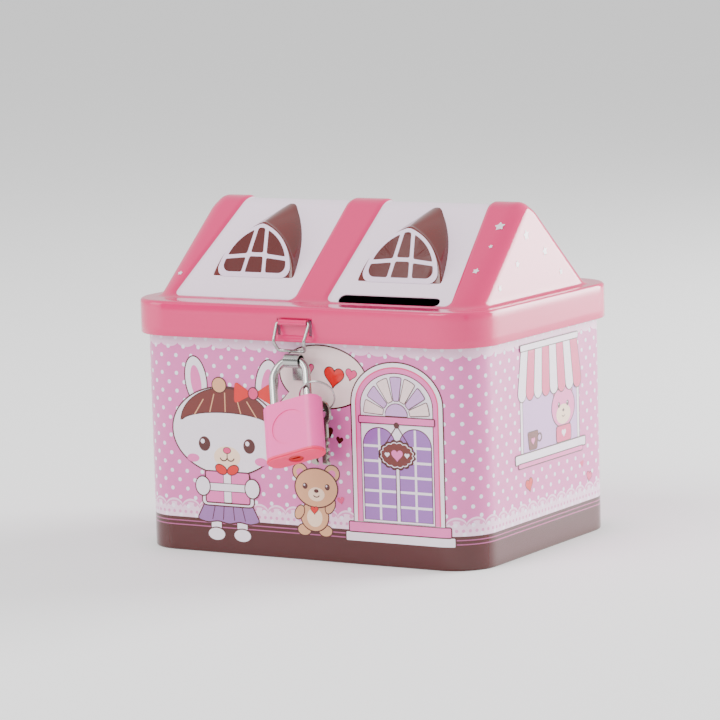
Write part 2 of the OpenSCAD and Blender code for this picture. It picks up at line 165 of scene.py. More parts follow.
dark_card("dark_left", (-0.62, -0.85, 0.22), (0, 0, 0.06), 0.22, 0.7)
dark_card("dark_right", (1.15, -0.75, 0.25), (0, 0, 0.06), 0.2, 0.8)

# %% [markdown]
# ## Turning arrays into meshes
# Most pieces are grids: a surface is a function of two parameters, worked out for
# all points at once, and neighbouring points become quads. `grid_faces` closes
# the grid round either way, `tidy` merges points that coincide at poles, and
# `mesh_from` keeps a UV map in metres or a named value per point when a pattern needs one.

# %% Grid helper
def grid_faces(rows, cols, wrap_cols=False, wrap_rows=False):
    """Quads between neighbouring points of a rows x cols grid, counter-clockwise in (column, row)."""
    r = np.arange(rows if wrap_rows else rows - 1)[:, None]
    c = np.arange(cols if wrap_cols else cols - 1)[None, :]
    here, right = r * cols + c, r * cols + (c + 1) % cols
    above, corner = ((r + 1) % rows) * cols + c, ((r + 1) % rows) * cols + (c + 1) % cols
    return np.stack([here, right, corner, above], axis=-1).reshape(-1, 4)


def mesh_from(name, points, faces, uv=None, values=None):
    """A mesh from an array of points and an array or list of faces, with an optional UV per point and named values per point."""
    mesh = bpy.data.meshes.new(name)
    mesh.from_pydata(np.asarray(points, float).reshape(-1, 3).tolist(), [],
                     [list(map(int, f)) for f in faces])
    if uv is not None:
        corner = np.empty(len(mesh.loops), np.int32)
        mesh.loops.foreach_get("vertex_index", corner)
        layer = mesh.uv_layers.new(name="UVMap")
        layer.data.foreach_set("uv", np.asarray(uv, np.float32).reshape(-1, 2)[corner].ravel())
    for key, value in (values or {}).items():
        mesh.attributes.new(key, "FLOAT", "POINT").data.foreach_set("value",
                                                                    np.asarray(value, np.float32).ravel())
    mesh.shade_smooth()
    return mesh


def tidy(mesh, merge=1e-6, recalculate=False):
    """Merges points that coincide, drops the faces that vanish, and can turn all faces outwards."""
    work = bmesh.new()
    work.from_mesh(mesh)
    bmesh.ops.remove_doubles(work, verts=work.verts, dist=merge)
    bmesh.ops.dissolve_degenerate(work, dist=merge, edges=work.edges)
    if recalculate:
        bmesh.ops.recalc_face_normals(work, faces=work.faces)
    work.to_mesh(mesh)
    work.free()
    return mesh


def piece(name, mesh, body, slot, *materials, replaces=()):
    """Links a finished mesh as a piece that rides on a CAD body. The slot is not used."""
    thing = bpy.data.objects.new(name, mesh)
    for material in materials:
        mesh.materials.append(material)
    bpy.context.scene.collection.objects.link(thing)
    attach(thing, body)
    if replaces:
        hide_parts(*replaces)
    print(f"{name}: {len(mesh.polygons)} faces on {body}")
    return thing


# %% Outlines
def round_rect(half_x, half_y, radius, front=120, side=80, corner=14):
    """Points round a rectangle with rounded corners, anticlockwise from above, starting at the front's left end.
    Each straight and each corner has a fixed count, so outlines of different sizes line up in a grid.
    half_x, half_y and radius may be arrays, one value per row, and the result is then rows x points x 2."""
    hx, hy, rr = (np.atleast_1d(np.asarray(v, float))[:, None] for v in (half_x, half_y, radius))
    hx, hy, rr = np.broadcast_arrays(hx, hy, rr)
    rr = np.minimum(rr, np.minimum(hx, hy))
    run = np.linspace(-1, 1, front, endpoint=False)[None, :]
    rise = np.linspace(-1, 1, side, endpoint=False)[None, :]
    turn = np.linspace(0, math.pi / 2, corner, endpoint=False)[None, :]
    lx, ly = hx - rr, hy - rr
    sin, cos = np.sin(turn) * rr, np.cos(turn) * rr
    xs = [run * lx, lx + sin, hx + 0 * rise, lx + cos, -run * lx, -lx - sin, -hx + 0 * rise, -lx - cos]
    ys = [-hy + 0 * run, -ly - cos, rise * ly, ly + sin, hy + 0 * run, ly + cos, -rise * ly, -ly - sin]
    return np.stack([np.concatenate(xs, 1), np.concatenate(ys, 1)], axis=-1)


def along(outline):
    """Distance walked round a closed outline at each point, from its first."""
    step = np.linalg.norm(np.roll(outline, -1, 0) - outline, axis=1)
    return np.concatenate([[0], np.cumsum(step)[:-1]])

# %% [markdown]
# ## Finishes
# Printed tin is ink under a clear lacquer: a smooth, slightly wavy gloss. Three
# effects are shared. `lacquer` gives the faint orange peel and the uneven gloss,
# `ink_tone` breaks a flat ink up by a few hundredths, and `drawn_metal` gives wire
# and plate fine scratches. Each is a node group, placed with its own values.

# %% Node helpers
def node_group(name, inputs, outputs):
    """An empty shader group with float inputs {name: default} and outputs {name: socket type}."""
    group = bpy.data.node_groups.new(name, "ShaderNodeTree")
    for key, value in inputs.items():
        kind = "NodeSocketColor" if isinstance(value, tuple) else "NodeSocketFloat"
        socket = group.interface.new_socket(key, in_out="INPUT", socket_type=kind)
        socket.default_value = value
    for key, kind in outputs.items():
        group.interface.new_socket(key, in_out="OUTPUT", socket_type=kind)
    return group, group.nodes.new("NodeGroupInput"), group.nodes.new("NodeGroupOutput")


def add(tree, kind, links=(), **settings):
    """A node of a kind with its settings, and links as {input name or number: socket or value}."""
    node = tree.nodes.new(kind)
    for key, value in settings.items():
        setattr(node, key, value)
    for key, value in dict(links).items():
        if isinstance(value, bpy.types.NodeSocket):
            tree.links.new(value, node.inputs[key])
        else:
            node.inputs[key].default_value = value
    return node


def maths(tree, operation, *values, clamp=False):
    """One Math node, as its output socket."""
    return add(tree, "ShaderNodeMath", dict(enumerate(values)), operation=operation,
               use_clamp=clamp).outputs[0]


def mixed(tree, share, first, second):
    """Colour between two colours, as a socket."""
    node = add(tree, "ShaderNodeMix", data_type="RGBA")
    for key, value in ((0, share), (6, first), (7, second)):
        if isinstance(value, bpy.types.NodeSocket):
            tree.links.new(value, node.inputs[key])
        else:
            node.inputs[key].default_value = value
    return node.outputs[2]


def srgb(r, g, b):
    """Linear colour of an 8-bit screen colour, deepened, because pale surroundings wash out glossy ink."""
    c = np.array([r, g, b]) / 255
    linear = np.where(c <= 0.04045, c / 12.92, ((c + 0.055) / 1.055) ** 2.4)
    return (*[float(v) for v in linear ** 1.5], 1.0)


# %% Shared groups
lacquer, inside, outside = node_group("lacquer", {"Gloss": 0.2, "Spread": 0.06, "Wave": 0.1, "Size": 260.0},
                                      {"Roughness": "NodeSocketFloat", "Normal": "NodeSocketVector"})
place = add(lacquer, "ShaderNodeTexCoord").outputs["Object"]
peel = add(lacquer, "ShaderNodeTexNoise", {"Vector": place, "Scale": inside.outputs["Size"], "Detail": 2.0})
smear = add(lacquer, "ShaderNodeTexNoise", {"Vector": place, "Scale": 38.0, "Detail": 4.0,
                                            "Roughness": 0.6})
rough = maths(lacquer, "MULTIPLY_ADD", maths(lacquer, "SUBTRACT", smear.outputs[0], 0.5),
              inside.outputs["Spread"],
              inside.outputs["Gloss"])
bump = add(lacquer, "ShaderNodeBump", {"Height": peel.outputs[0], "Distance": 0.00012,
                                       "Strength": inside.outputs["Wave"]})
lacquer.links.new(rough, outside.inputs["Roughness"])
lacquer.links.new(bump.outputs[0], outside.inputs["Normal"])

ink_tone, inside, outside = node_group("ink_tone",
                                       {"Ink": (1.0, 1.0, 1.0, 1.0), "Depth": 0.05, "Size": 900.0},
                                       {"Color": "NodeSocketColor"})
place = add(ink_tone, "ShaderNodeTexCoord").outputs["Object"]
screen = add(ink_tone, "ShaderNodeTexNoise", {"Vector": place, "Scale": inside.outputs["Size"],
                                              "Detail": 1.0})
cloud = add(ink_tone, "ShaderNodeTexNoise", {"Vector": place, "Scale": 14.0, "Detail": 2.0})
both = maths(ink_tone, "ADD", screen.outputs[0], cloud.outputs[0])
shade = maths(ink_tone, "MULTIPLY_ADD", maths(ink_tone, "SUBTRACT", both, 1.0), inside.outputs["Depth"],
              1.0)
tone = add(ink_tone, "ShaderNodeVectorMath", {0: inside.outputs["Ink"]}, operation="SCALE")
ink_tone.links.new(shade, tone.inputs["Scale"])
ink_tone.links.new(tone.outputs[0], outside.inputs["Color"])

drawn_metal, inside, outside = node_group("drawn_metal",
                                          {"Gloss": 0.2, "Spread": 0.12, "Scratch": 0.15, "Size": 900.0},
                                          {"Roughness": "NodeSocketFloat", "Normal": "NodeSocketVector"})
place = add(drawn_metal, "ShaderNodeTexCoord").outputs["Object"]
stretch = add(drawn_metal, "ShaderNodeMapping", {"Vector": place, "Scale": (1.0, 1.0, 0.12)})
hair = add(drawn_metal, "ShaderNodeTexNoise", {"Vector": stretch.outputs[0],
                                               "Scale": inside.outputs["Size"], "Detail": 3.0})
worn = add(drawn_metal, "ShaderNodeTexNoise", {"Vector": place, "Scale": 120.0, "Detail": 3.0})
rough = maths(drawn_metal, "MULTIPLY_ADD", maths(drawn_metal, "SUBTRACT", worn.outputs[0], 0.5),
              inside.outputs["Spread"],
              inside.outputs["Gloss"])
bump = add(drawn_metal, "ShaderNodeBump", {"Height": hair.outputs[0], "Distance": 0.00005,
                                           "Strength": inside.outputs["Scratch"]})
drawn_metal.links.new(rough, outside.inputs["Roughness"])
drawn_metal.links.new(bump.outputs[0], outside.inputs["Normal"])
print("shared groups:", [g.name for g in bpy.data.node_groups])


# %% Material makers
def start_material(name, group, coat=0.0, **values):
    """A Principled material whose roughness and normal come from a shared group with its own values."""
    material = bpy.data.materials.new(name)
    material.use_nodes = True
    tree = material.node_tree
    shader = tree.nodes["Principled BSDF"]
    surface = add(tree, "ShaderNodeGroup", node_tree=group)
    for key, value in values.items():
        surface.inputs[key].default_value = value
    tree.links.new(surface.outputs["Roughness"], shader.inputs["Roughness"])
    tree.links.new(surface.outputs["Normal"], shader.inputs["Normal"])
    shader.inputs["Coat Weight"].default_value = coat * 0.35
    shader.inputs["Coat Roughness"].default_value = 0.08
    return material, tree, shader


def toned(tree, colour, depth=0.05, size=900.0):
    """A colour or colour socket broken up by the ink group."""
    node = add(tree, "ShaderNodeGroup", node_tree=ink_tone)
    node.inputs["Depth"].default_value = depth
    node.inputs["Size"].default_value = size
    if isinstance(colour, bpy.types.NodeSocket):
        tree.links.new(colour, node.inputs["Ink"])
    else:
        node.inputs["Ink"].default_value = colour
    return node.outputs["Color"]


def printed(name, colour, gloss=0.2, coat=0.5):
    """One printed ink on lacquered tin."""
    material, tree, shader = start_material(name, lacquer, coat, Gloss=gloss)
    tree.links.new(toned(tree, colour), shader.inputs["Base Color"])
    return material


def metal(name, colour, gloss=0.2, scratch=0.15, spread=0.12):
    """Bright or drawn metal."""
    material, tree, shader = start_material(name, drawn_metal, Gloss=gloss, Scratch=scratch, Spread=spread)
    shader.inputs["Metallic"].default_value = 1.0
    tree.links.new(toned(tree, colour, 0.08, 300.0), shader.inputs["Base Color"])
    return material


PINK = srgb(230, 68, 141)
LILAC = srgb(250, 235, 248)
BROWN = srgb(109, 40, 32)
DORMER = srgb(132, 40, 26)
DOT = srgb(238, 242, 250)
WALL_PINK = srgb(229, 142, 196)
steel = metal("plated_steel", srgb(205, 205, 203), 0.16)
wire_steel = metal("hasp_wire", srgb(196, 196, 194), 0.2)
spring_steel = metal("spring_wire", srgb(150, 150, 152), 0.3)
bare_tin = metal("bare_tin", srgb(190, 188, 182), 0.32, 0.3)
print("metals:", steel.name, wire_steel.name, spring_steel.name, bare_tin.name)

# %% [markdown]
# ## Printed wall
# The wall is a closed tube of tin. One outline walks round the rounded rectangle,
# and one profile climbs the outside, curls over the hem, and returns inside. The UV
# map is measured in metres on the sheet: u is the distance round from the middle
# of the front, and v is the height. The print is drawn on that map.

# %% Wall material
def wall_material():
    """Dots, lace and a brown foot as functions of the sheet's own metres."""
    material, tree, shader = start_material("wall_print", lacquer, 0.6, Gloss=0.17, Wave=0.12)
    uv = add(tree, "ShaderNodeUVMap", uv_map="UVMap").outputs[0]
    split = add(tree, "ShaderNodeSeparateXYZ", {0: uv})
    u, v = split.outputs[0], split.outputs[1]
    pitch = WALL_ROUND / 72

    def dots(shift):
        """Round dots on one square lattice, shifted by half a pitch both ways or not."""
        du = maths(tree, "PINGPONG", maths(tree, "ADD", u, shift * pitch), pitch / 2)
        dv = maths(tree, "PINGPONG", maths(tree, "ADD", v, shift * pitch), pitch / 2)
        far = maths(tree, "SQRT", maths(tree, "ADD", maths(tree, "POWER", du, 2.0), maths(tree, "POWER", dv,
                                                                                          2.0)))
        return maths(tree, "MULTIPLY_ADD", maths(tree, "SUBTRACT", DOT_R, far), 1 / EDGE, 0.5, clamp=True)

    def above(height, value=None):
        """1 above a height, with a narrow soft edge."""
        return maths(tree, "MULTIPLY_ADD", maths(tree, "SUBTRACT", v if value is None else value, height),
                     1 / EDGE, 0.5,
                     clamp=True)

    def scallops(count, depth):
        """Height of a row of round arches, as a wave along u."""
        wave = maths(tree, "ABSOLUTE", maths(tree, "SINE", maths(tree, "MULTIPLY", u,
                                                                 math.pi * count / WALL_ROUND)))
        return maths(tree, "MULTIPLY", maths(tree, "SQRT", wave), depth)

    def eyelets(count, height, radius):
        """A row of round holes."""
        step = WALL_ROUND / count
        du = maths(tree, "PINGPONG", maths(tree, "ADD", u, step / 2), step / 2)
        dv = maths(tree, "SUBTRACT", v, height)
        far = maths(tree, "SQRT", maths(tree, "ADD", maths(tree, "POWER", du, 2.0), maths(tree, "POWER", dv,
                                                                                          2.0)))
        return maths(tree, "MULTIPLY_ADD", maths(tree, "SUBTRACT", radius, far), 1 / EDGE, 0.5, clamp=True)

    EDGE, DOT_R = 0.12 * MM, 0.74 * MM
    spots = maths(tree, "MAXIMUM", dots(0.0), dots(0.5))
    ground = mixed(tree, spots, WALL_PINK, DOT)
    rim = maths(tree, "SUBTRACT", v, scallops(64, 2.4 * MM))
    lace = maths(tree, "SUBTRACT", 1.0, above(16.6 * MM, rim))
    holes = maths(tree, "MAXIMUM", eyelets(128, 16.9 * MM, 0.75 * MM), eyelets(192, 14.2 * MM, 0.6 * MM))
    inner = maths(tree, "MULTIPLY", above(15.3 * MM, rim),
                  maths(tree, "SUBTRACT", 1.0, above(15.9 * MM, rim)))
    holes = maths(tree, "MAXIMUM", holes, inner)
    lace = maths(tree, "MULTIPLY", lace, maths(tree, "MULTIPLY_ADD", holes, -0.75, 1.0))
    ground = mixed(tree, maths(tree, "MULTIPLY", lace, 0.72), ground, LILAC)
    top_rim = maths(tree, "ADD", v, scallops(64, 1.6 * MM))
    ground = mixed(tree, maths(tree, "MULTIPLY", above(76.0 * MM, top_rim), 0.6), ground, LILAC)
    foot = maths(tree, "SUBTRACT", 1.0, above(12.3 * MM))
    line = maths(tree, "SUBTRACT", 1.0, maths(tree, "MULTIPLY", maths(tree, "ABSOLUTE", maths(
        tree, "SUBTRACT", v, 10.9 * MM)), 1 / (0.28 * MM)), clamp=True)
    line_2 = maths(tree, "SUBTRACT", 1.0, maths(tree, "MULTIPLY", maths(tree, "ABSOLUTE", maths(
        tree, "SUBTRACT", v, 9.4 * MM)), 1 / (0.28 * MM)), clamp=True)
    band = mixed(tree, maths(tree, "MULTIPLY", maths(tree, "MAXIMUM", line, line_2), 0.7), BROWN, WALL_PINK)
    tree.links.new(toned(tree, mixed(tree, foot, ground, band), 0.03), shader.inputs["Base Color"])
    return material


# %% Wall surface
FRONT_RUN = 2 * (WALL_X - WALL_R)
CORNER_RUN = math.pi / 2 * WALL_R
WALL_ROUND = 2 * FRONT_RUN + 4 * (WALL_Y - WALL_R) + 4 * CORNER_RUN
HEM = 1.2 * MM
arc = np.linspace(0, math.pi, 9)
climb = np.linspace(0.7 * MM, WALL_TOP - 0.7 * MM, 40)
profile = np.concatenate([
    [[0.55 * MM, 0.0], [0.2 * MM, 0.1 * MM], [0.05 * MM, 0.35 * MM]],
    np.stack([0 * climb, climb], 1),
    np.stack([HEM / 2 - HEM / 2 * np.cos(arc), WALL_TOP - HEM / 2 + HEM / 2 * np.sin(arc)], 1),
    [[HEM, WALL_TOP - 2 * MM], [TIN, WALL_TOP - 2.3 * MM], [TIN, 45 * MM], [TIN, 0.2 * MM]]])
inset, height = profile[:, 0], profile[:, 1]
rounds = round_rect(WALL_X - inset, WALL_Y - inset, WALL_R - inset, 60, 40, 16)
rounds = np.concatenate([rounds, rounds[:, :1]], 1)
sheet_run = np.concatenate([along(rounds[5, :-1]), [WALL_ROUND]])
uv = np.stack(np.broadcast_arrays(sheet_run[None, :] - FRONT_RUN / 2, height[:, None]), -1)
points = np.concatenate([rounds, np.broadcast_to(height[:, None, None], (*rounds.shape[:2], 1))], -1)
wall_mesh = mesh_from("wall", points, grid_faces(*points.shape[:2], wrap_rows=True), uv)
tidy(wall_mesh)
z_of = np.array([p.center.z for p in wall_mesh.polygons])
side_in = np.array([max((abs(p.center.x) - (WALL_X - WALL_R)),
                        0) ** 2 + max((abs(p.center.y) - (WALL_Y - WALL_R)), 0) ** 2
                    for p in wall_mesh.polygons]) ** 0.5
printed_wall = wall_material()
piece("wall", wall_mesh, "box", "printed_wall", printed_wall, bare_tin, replaces=("body_shell",))
is_inside = (side_in < WALL_R - 0.5 * TIN) | (z_of > WALL_TOP)
wall_mesh.polygons.foreach_set("material_index", is_inside.astype(np.int32))
print(f"the sheet is {WALL_ROUND / MM:.1f} mm round; inside faces: {int(is_inside.sum())}")

# %% [markdown]
# ## Lid
# The lid is one pressing: a skirt with a rolled edge, a flat ledge, and a roof whose
# two slopes meet in a round ridge. It is a stack of rounded rectangles that follows
# one profile from the skirt's lip to the crest. Four panels are pressed 1 mm deep. A
# signed distance to each panel's outline, in the slope's own plane, gives the soft
# step, and the same distance tells the shader where the ink changes.

# %% Lid profile
PITCH = math.radians(39.5)
RIDGE_R, RIDGE_Z = 9.3 * MM, ROOF_TOP - 9.3 * MM
FOOT_X, FOOT_Y, TOP_X = 67.3 * MM, 43.74 * MM, 65.4 * MM
RIB = 1.0 * MM
TOP_ROUND = 5 * MM


def lid_stack(inset):
    """Rows of (half length, half depth, corner radius, height) from the skirt's lip to the crest,
    for a surface lying a given distance inside the outer one."""
    bead = np.linspace(0, math.pi / 2, 7)
    lip = [(0.25 * MM, 0.0), (0.0, 0.3 * MM), (0.0, 3 * MM), (0.0, 6 * MM), (0.0, 9.0 * MM)]
    top = LEDGE_Z - inset
    edge = [(1.3 * MM * (1 - math.cos(a)), top - SKIRT_LOW - 1.3 * MM * (1 - math.sin(a))) for a in bead]
    rows = [(SKIRT_X - inset - i, SKIRT_Y - inset - i, SKIRT_R - inset - i, SKIRT_LOW + h) for i,
            h in lip + edge]
    for share in (0.35, 0.7, 1.0):
        foot_x, foot_y = FOOT_X - inset + 1.4 * MM, FOOT_Y - inset + 1.4 * MM
        start = rows[len(lip) + len(bead) - 1]
        rows.append(tuple(a + (b - a) * share for a, b in zip(start, (foot_x, foot_y, 9 * MM, top))))
    for a in np.linspace(0.25, 1, 4) * (math.pi / 2 - PITCH / 2):
        out, up = 1.4 * MM * (1 - math.sin(a)), 1.4 * MM * (1 - math.cos(a))
        rows.append((FOOT_X - inset + out, FOOT_Y - inset + out - up / math.tan(PITCH), 8.5 * MM, top + up))
    start_y, start_z = rows[-1][1], rows[-1][3]
    tangent_y = (RIDGE_R - inset) * math.sin(PITCH)
    tangent_z = RIDGE_Z + (RIDGE_R - inset) * math.cos(PITCH)
    crest = RIDGE_Z + RIDGE_R - inset
    for share in np.linspace(0, 1, 47)[1:]:
        z = start_z + (tangent_z - start_z) * share
        lean = (z - LEDGE_Z) / (ROOF_TOP - LEDGE_Z)
        rows.append((FOOT_X + (TOP_X - FOOT_X) * lean - inset, start_y + (tangent_y - start_y) * share,
                     (8.5 - 2.5 * share) * MM, z))
    for a in np.linspace(PITCH, 0, 13)[1:]:
        z = RIDGE_Z + (RIDGE_R - inset) * math.cos(a)
        rows.append((TOP_X - inset, (RIDGE_R - inset) * math.sin(a), 6 * MM, z))
    rows = np.array(rows)
    deep = np.clip(crest - rows[:, 3], 0, TOP_ROUND)
    rows[:, 0] -= TOP_ROUND - np.sqrt(np.maximum(TOP_ROUND ** 2 - (TOP_ROUND - deep) ** 2, 0))
    rows[-1, 1] = 0.0
    return rows


def slope_place(points):
    """x and the distance up the slope from the ledge, in mm, of points on either slope."""
    x = points[..., 0] / MM
    up = np.hypot(FOOT_Y - np.abs(points[..., 1]), points[..., 2] - LEDGE_Z) / MM
    return x, up


def panel_distance(points):
    """Signed distance in mm to the nearest panel's outline, negative inside. Each panel is a four-sided
    shape with round corners whose outer edge leans in towards the ridge. Gable faces count as outside."""
    x, up = slope_place(points)
    left = np.where(x > 0, 5.0 + 0.055 * up, -59.6 + 0.16 * up)
    right = np.where(x > 0, 56.4 - 0.10 * up, -7.6 + 0.016 * up)
    middle, half = (left + right) / 2, (right - left) / 2
    corner = 3.0
    dx = np.abs(x - middle) - half + corner
    dy = corner + 1.3 - up
    outside = np.hypot(np.maximum(dx, 0), np.maximum(dy, 0)) + np.minimum(np.maximum(dx, dy), 0) - corner
    flank = np.abs(x) - 60.5
    return np.maximum(outside, flank)


def press(points):
    """Sinks the panels: each point moves against the slope's outward direction by a smooth step of 1 mm."""
    d = panel_distance(points)
    share = np.clip(0.5 - d / 2.6, 0, 1)
    share = share * share * (3 - 2 * share) * (points[..., 2] > LEDGE_Z + 0.4 * MM)
    from_ridge = np.stack([0 * points[..., 0], points[..., 1], points[..., 2] - RIDGE_Z], -1)
    angle = np.clip(np.arctan2(np.abs(from_ridge[..., 1]), from_ridge[..., 2]), 0, PITCH)
    normal = np.stack([0 * angle, np.sign(points[..., 1]) * np.sin(angle), np.cos(angle)], -1)
    return points - normal * (share * RIB)[..., None]


# %% Lid surface
def stack_points(rows):
    """Grid of points from rows of (half length, half depth, radius, height)."""
    flat = round_rect(rows[:, 0], rows[:, 1], rows[:, 2], 250, 60, 12)
    tall = np.broadcast_to(rows[:, 3][:, None, None], (*flat.shape[:2], 1))
    return press(np.concatenate([flat, tall], -1))


outer, inner = stack_points(lid_stack(0.0)), stack_points(lid_stack(TIN))
cols = outer.shape[1]
both = np.concatenate([inner[::-1], outer], 0)
lid_mesh = mesh_from("lid", both, grid_faces(*both.shape[:2], wrap_cols=True))
tidy(lid_mesh, 2e-5)
print(f"lid before cutting: {len(lid_mesh.polygons)} faces")

# %% [markdown]
# The coin slot is cut square to the front slope, and the window for the hasp
# is cut in the skirt. Both use closed cutters and one exact Boolean each.

# %% Cutting the lid
def prism(name, outline, low, high):
    """A closed prism over a 2-D outline, between two heights of its own frame."""
    n = len(outline)
    flat = np.asarray(outline)
    points = np.concatenate([np.column_stack([flat, np.full(n, low)]),
                             np.column_stack([flat, np.full(n, high)])])
    sides = [(i, (i + 1) % n, n + (i + 1) % n, n + i) for i in range(n)]
    return mesh_from(name, points, sides + [tuple(range(n))[::-1], tuple(range(n, 2 * n))])


def cut(mesh, cutter_mesh, place):
    """The mesh less a cutter placed by a matrix."""
    target = bpy.data.objects.new("cut_target", mesh)
    cutter = bpy.data.objects.new("cutter", cutter_mesh)
    cutter.matrix_world = place
    for thing in (target, cutter):
        bpy.context.scene.collection.objects.link(thing)
    modifier = target.modifiers.new("cut", "BOOLEAN")
    modifier.operation, modifier.solver, modifier.object = "DIFFERENCE", "EXACT", cutter
    bpy.context.view_layer.update()
    result = bpy.data.meshes.new_from_object(target.evaluated_get(bpy.context.evaluated_depsgraph_get()))
    bpy.data.objects.remove(target)
    bpy.data.objects.remove(cutter)
    return result


def stadium(length, width, steps=16):
    """Outline of a slot with half-round ends, anticlockwise."""
    turn = np.linspace(-math.pi / 2, math.pi / 2, steps)
    end = np.column_stack([length / 2 - width / 2 + width / 2 * np.cos(turn), width / 2 * np.sin(turn)])
    return np.concatenate([end, -end])


SLOT_X, SLOT_UP, FOOT_DEEP = 30.4 * MM, 2.2 * MM, 42.2 * MM
slot_place = Matrix.Translation((SLOT_X, SLOT_UP * math.cos(PITCH) - FOOT_DEEP,
                                 LEDGE_Z + SLOT_UP * math.sin(PITCH))
                                ) @ Matrix.Rotation(PITCH, 4, "X")
lid_mesh = cut(lid_mesh, prism("slot_cutter", stadium(41 * MM, 4.6 * MM), -5 * MM, 5 * MM), slot_place)
HASP_X = 0.7 * MM
window = [(HASP_X - 7.1 * MM, 80.8 * MM), (HASP_X + 7.1 * MM, 80.8 * MM), (HASP_X + 7.1 * MM, 86.5 * MM),
          (HASP_X - 7.1 * MM, 86.5 * MM)]
window_place = Matrix.Translation((0, -SKIRT_Y, 0)) @ Matrix.Rotation(math.pi / 2, 4, "X")
lid_mesh = cut(lid_mesh, prism("window_cutter", window, -1.5 * MM, 1.5 * MM), window_place)
print(f"lid after cutting: {len(lid_mesh.polygons)} faces")


# %% Lid material
def lid_material():
    """Pink tin with pale panels. The panel's signed distance, in mm, drives the change of ink."""
    material, tree, shader = start_material("lid_print", lacquer, 0.7, Gloss=0.15, Wave=0.1)
    distance = add(tree, "ShaderNodeAttribute", attribute_name="panel").outputs["Fac"]
    pale = maths(tree, "MULTIPLY_ADD", distance, -5.0, -1.0, clamp=True)
    tree.links.new(toned(tree, mixed(tree, pale, PINK, LILAC), 0.03), shader.inputs["Base Color"])
    return material

spots = np.empty(len(lid_mesh.vertices) * 3, np.float32)
lid_mesh.vertices.foreach_get("co", spots)
spots = spots.reshape(-1, 3)
distance = np.where(spots[:, 2] > LEDGE_Z + 0.3 * MM, panel_distance(spots), 20.0)
lid_mesh.attributes.new("panel", "FLOAT", "POINT").data.foreach_set("value", distance.astype(np.float32))
lid_print = lid_material()
piece("lid", lid_mesh, "lid", "pink_tin", lid_print, bare_tin, replaces=("lid_shell",))

# %% [markdown]
# ## Dormers
# Each dormer is a loft between two pointed arches. The front one leans back and the
# rear one is upright and half as wide, close to the ridge. A pointed arch is two
# arcs about far centres, joined by small arcs at the point and at both feet, with
# the same count of points in every part, so that the two arches line up.

# %% Arch and loft
def ogive(width, height, lip, foot=0.0):
    """Closed outline of a pointed arch standing on y = foot, with every corner rounded by lip, anticlockwise
    from the right foot. The side arcs have radius (h^2 + w^2 / 4) / w about centres on the foot line."""
    r = (height ** 2 + width ** 2 / 4) / width
    centre = r - width / 2
    apex = math.sqrt((r - lip) ** 2 - centre ** 2)
    low = math.asin(lip / (r - lip))
    high = math.atan2(apex, centre)
    side = np.linspace(low, high, 20)
    tip = np.linspace(high, math.pi - high, 8)[1:-1]
    corner = np.linspace(-math.pi / 2, low, 8)[:-1]
    foot_x = (r - lip) * math.cos(low) - centre
    right = np.concatenate([np.stack([foot_x + lip * np.cos(corner), lip + lip * np.sin(corner)], 1),
                            np.stack([r * np.cos(side) - centre, r * np.sin(side)], 1)])
    top = np.stack([lip * np.cos(tip), apex + lip * np.sin(tip)], 1)
    left = right[::-1] * (-1, 1)
    base = np.linspace(-1, 1, 12)[1:-1, None] * (foot_x, 0)
    return np.concatenate([right, top, left, base]) + (0, foot)


def leaning(flat, lift):
    """Points of a dormer's face plane, in the right-hand front dormer's place."""
    lift = np.broadcast_to(lift, len(flat))
    out_y, out_z = -math.cos(LEAN), math.sin(LEAN)
    return np.stack([DORMER_X + flat[:, 0], -DORMER_Y + flat[:, 1] * math.sin(LEAN) + lift * out_y,
                     DORMER_Z + flat[:, 1] * math.cos(LEAN) + lift * out_z], 1)


def upright(flat, back_shift):
    """Points of an upright section further back."""
    return np.stack([DORMER_X + flat[:, 0], np.full(len(flat), -DORMER_Y + back_shift),
                     BACK_FOOT + flat[:, 1]], 1)


LEAN = math.radians(25)
DORMER_X, DORMER_Y, DORMER_Z = 30.5 * MM, 35.6 * MM, 96.43 * MM - 3 * MM * math.cos(LEAN)
BACK_FOOT = ROOF_TOP - 1.0 * MM - 23.5 * MM
face = ogive(35.5 * MM, 26.5 * MM, 2.6 * MM)
rear = ogive(25.5 * MM, 23.5 * MM, 5 * MM)
middle = np.array([0, 9 * MM])
rear_ring = upright(rear, 31 * MM)
rows = [leaning(middle + (face - middle) * k, 0.0) for k in (0.0, 0.45, 0.86)]
for turn in np.linspace(0, math.pi / 2, 6):
    shrink = 1 - 0.055 * (1 - math.sin(turn))
    rows.append(leaning(middle + (face - middle) * shrink, -0.9 * MM * (1 - math.cos(turn))))
start = rows[-1]
for share in np.linspace(0, 1, 22)[1:]:
    swell = 1.6 * MM * math.sin(math.pi * share)
    ring = start + (rear_ring - start) * share
    away = np.clip((ring[:, :1] - DORMER_X) / (5 * MM), -1, 1)
    rows.append(ring + away * (0.7 * swell, 0, 0))
rows.append(np.broadcast_to(rows[-1].mean(0), rows[-1].shape))
dormer_points = np.array(rows)
dormer_faces = grid_faces(*dormer_points.shape[:2], wrap_cols=True)


# %% Shapes printed or pressed in a plane
def clip(outline, normal, limit):
    """A convex outline less its part beyond a line: what stays has normal . p <= limit."""
    kept = []
    ends = np.roll(outline, -1, 0)
    for a, b in zip(outline, ends):
        da, db = np.dot(normal, a) - limit, np.dot(normal, b) - limit
        if da <= 0:
            kept.append(a)
        if da * db < 0:
            kept.append(a + (b - a) * da / (da - db))
    return np.array(kept)


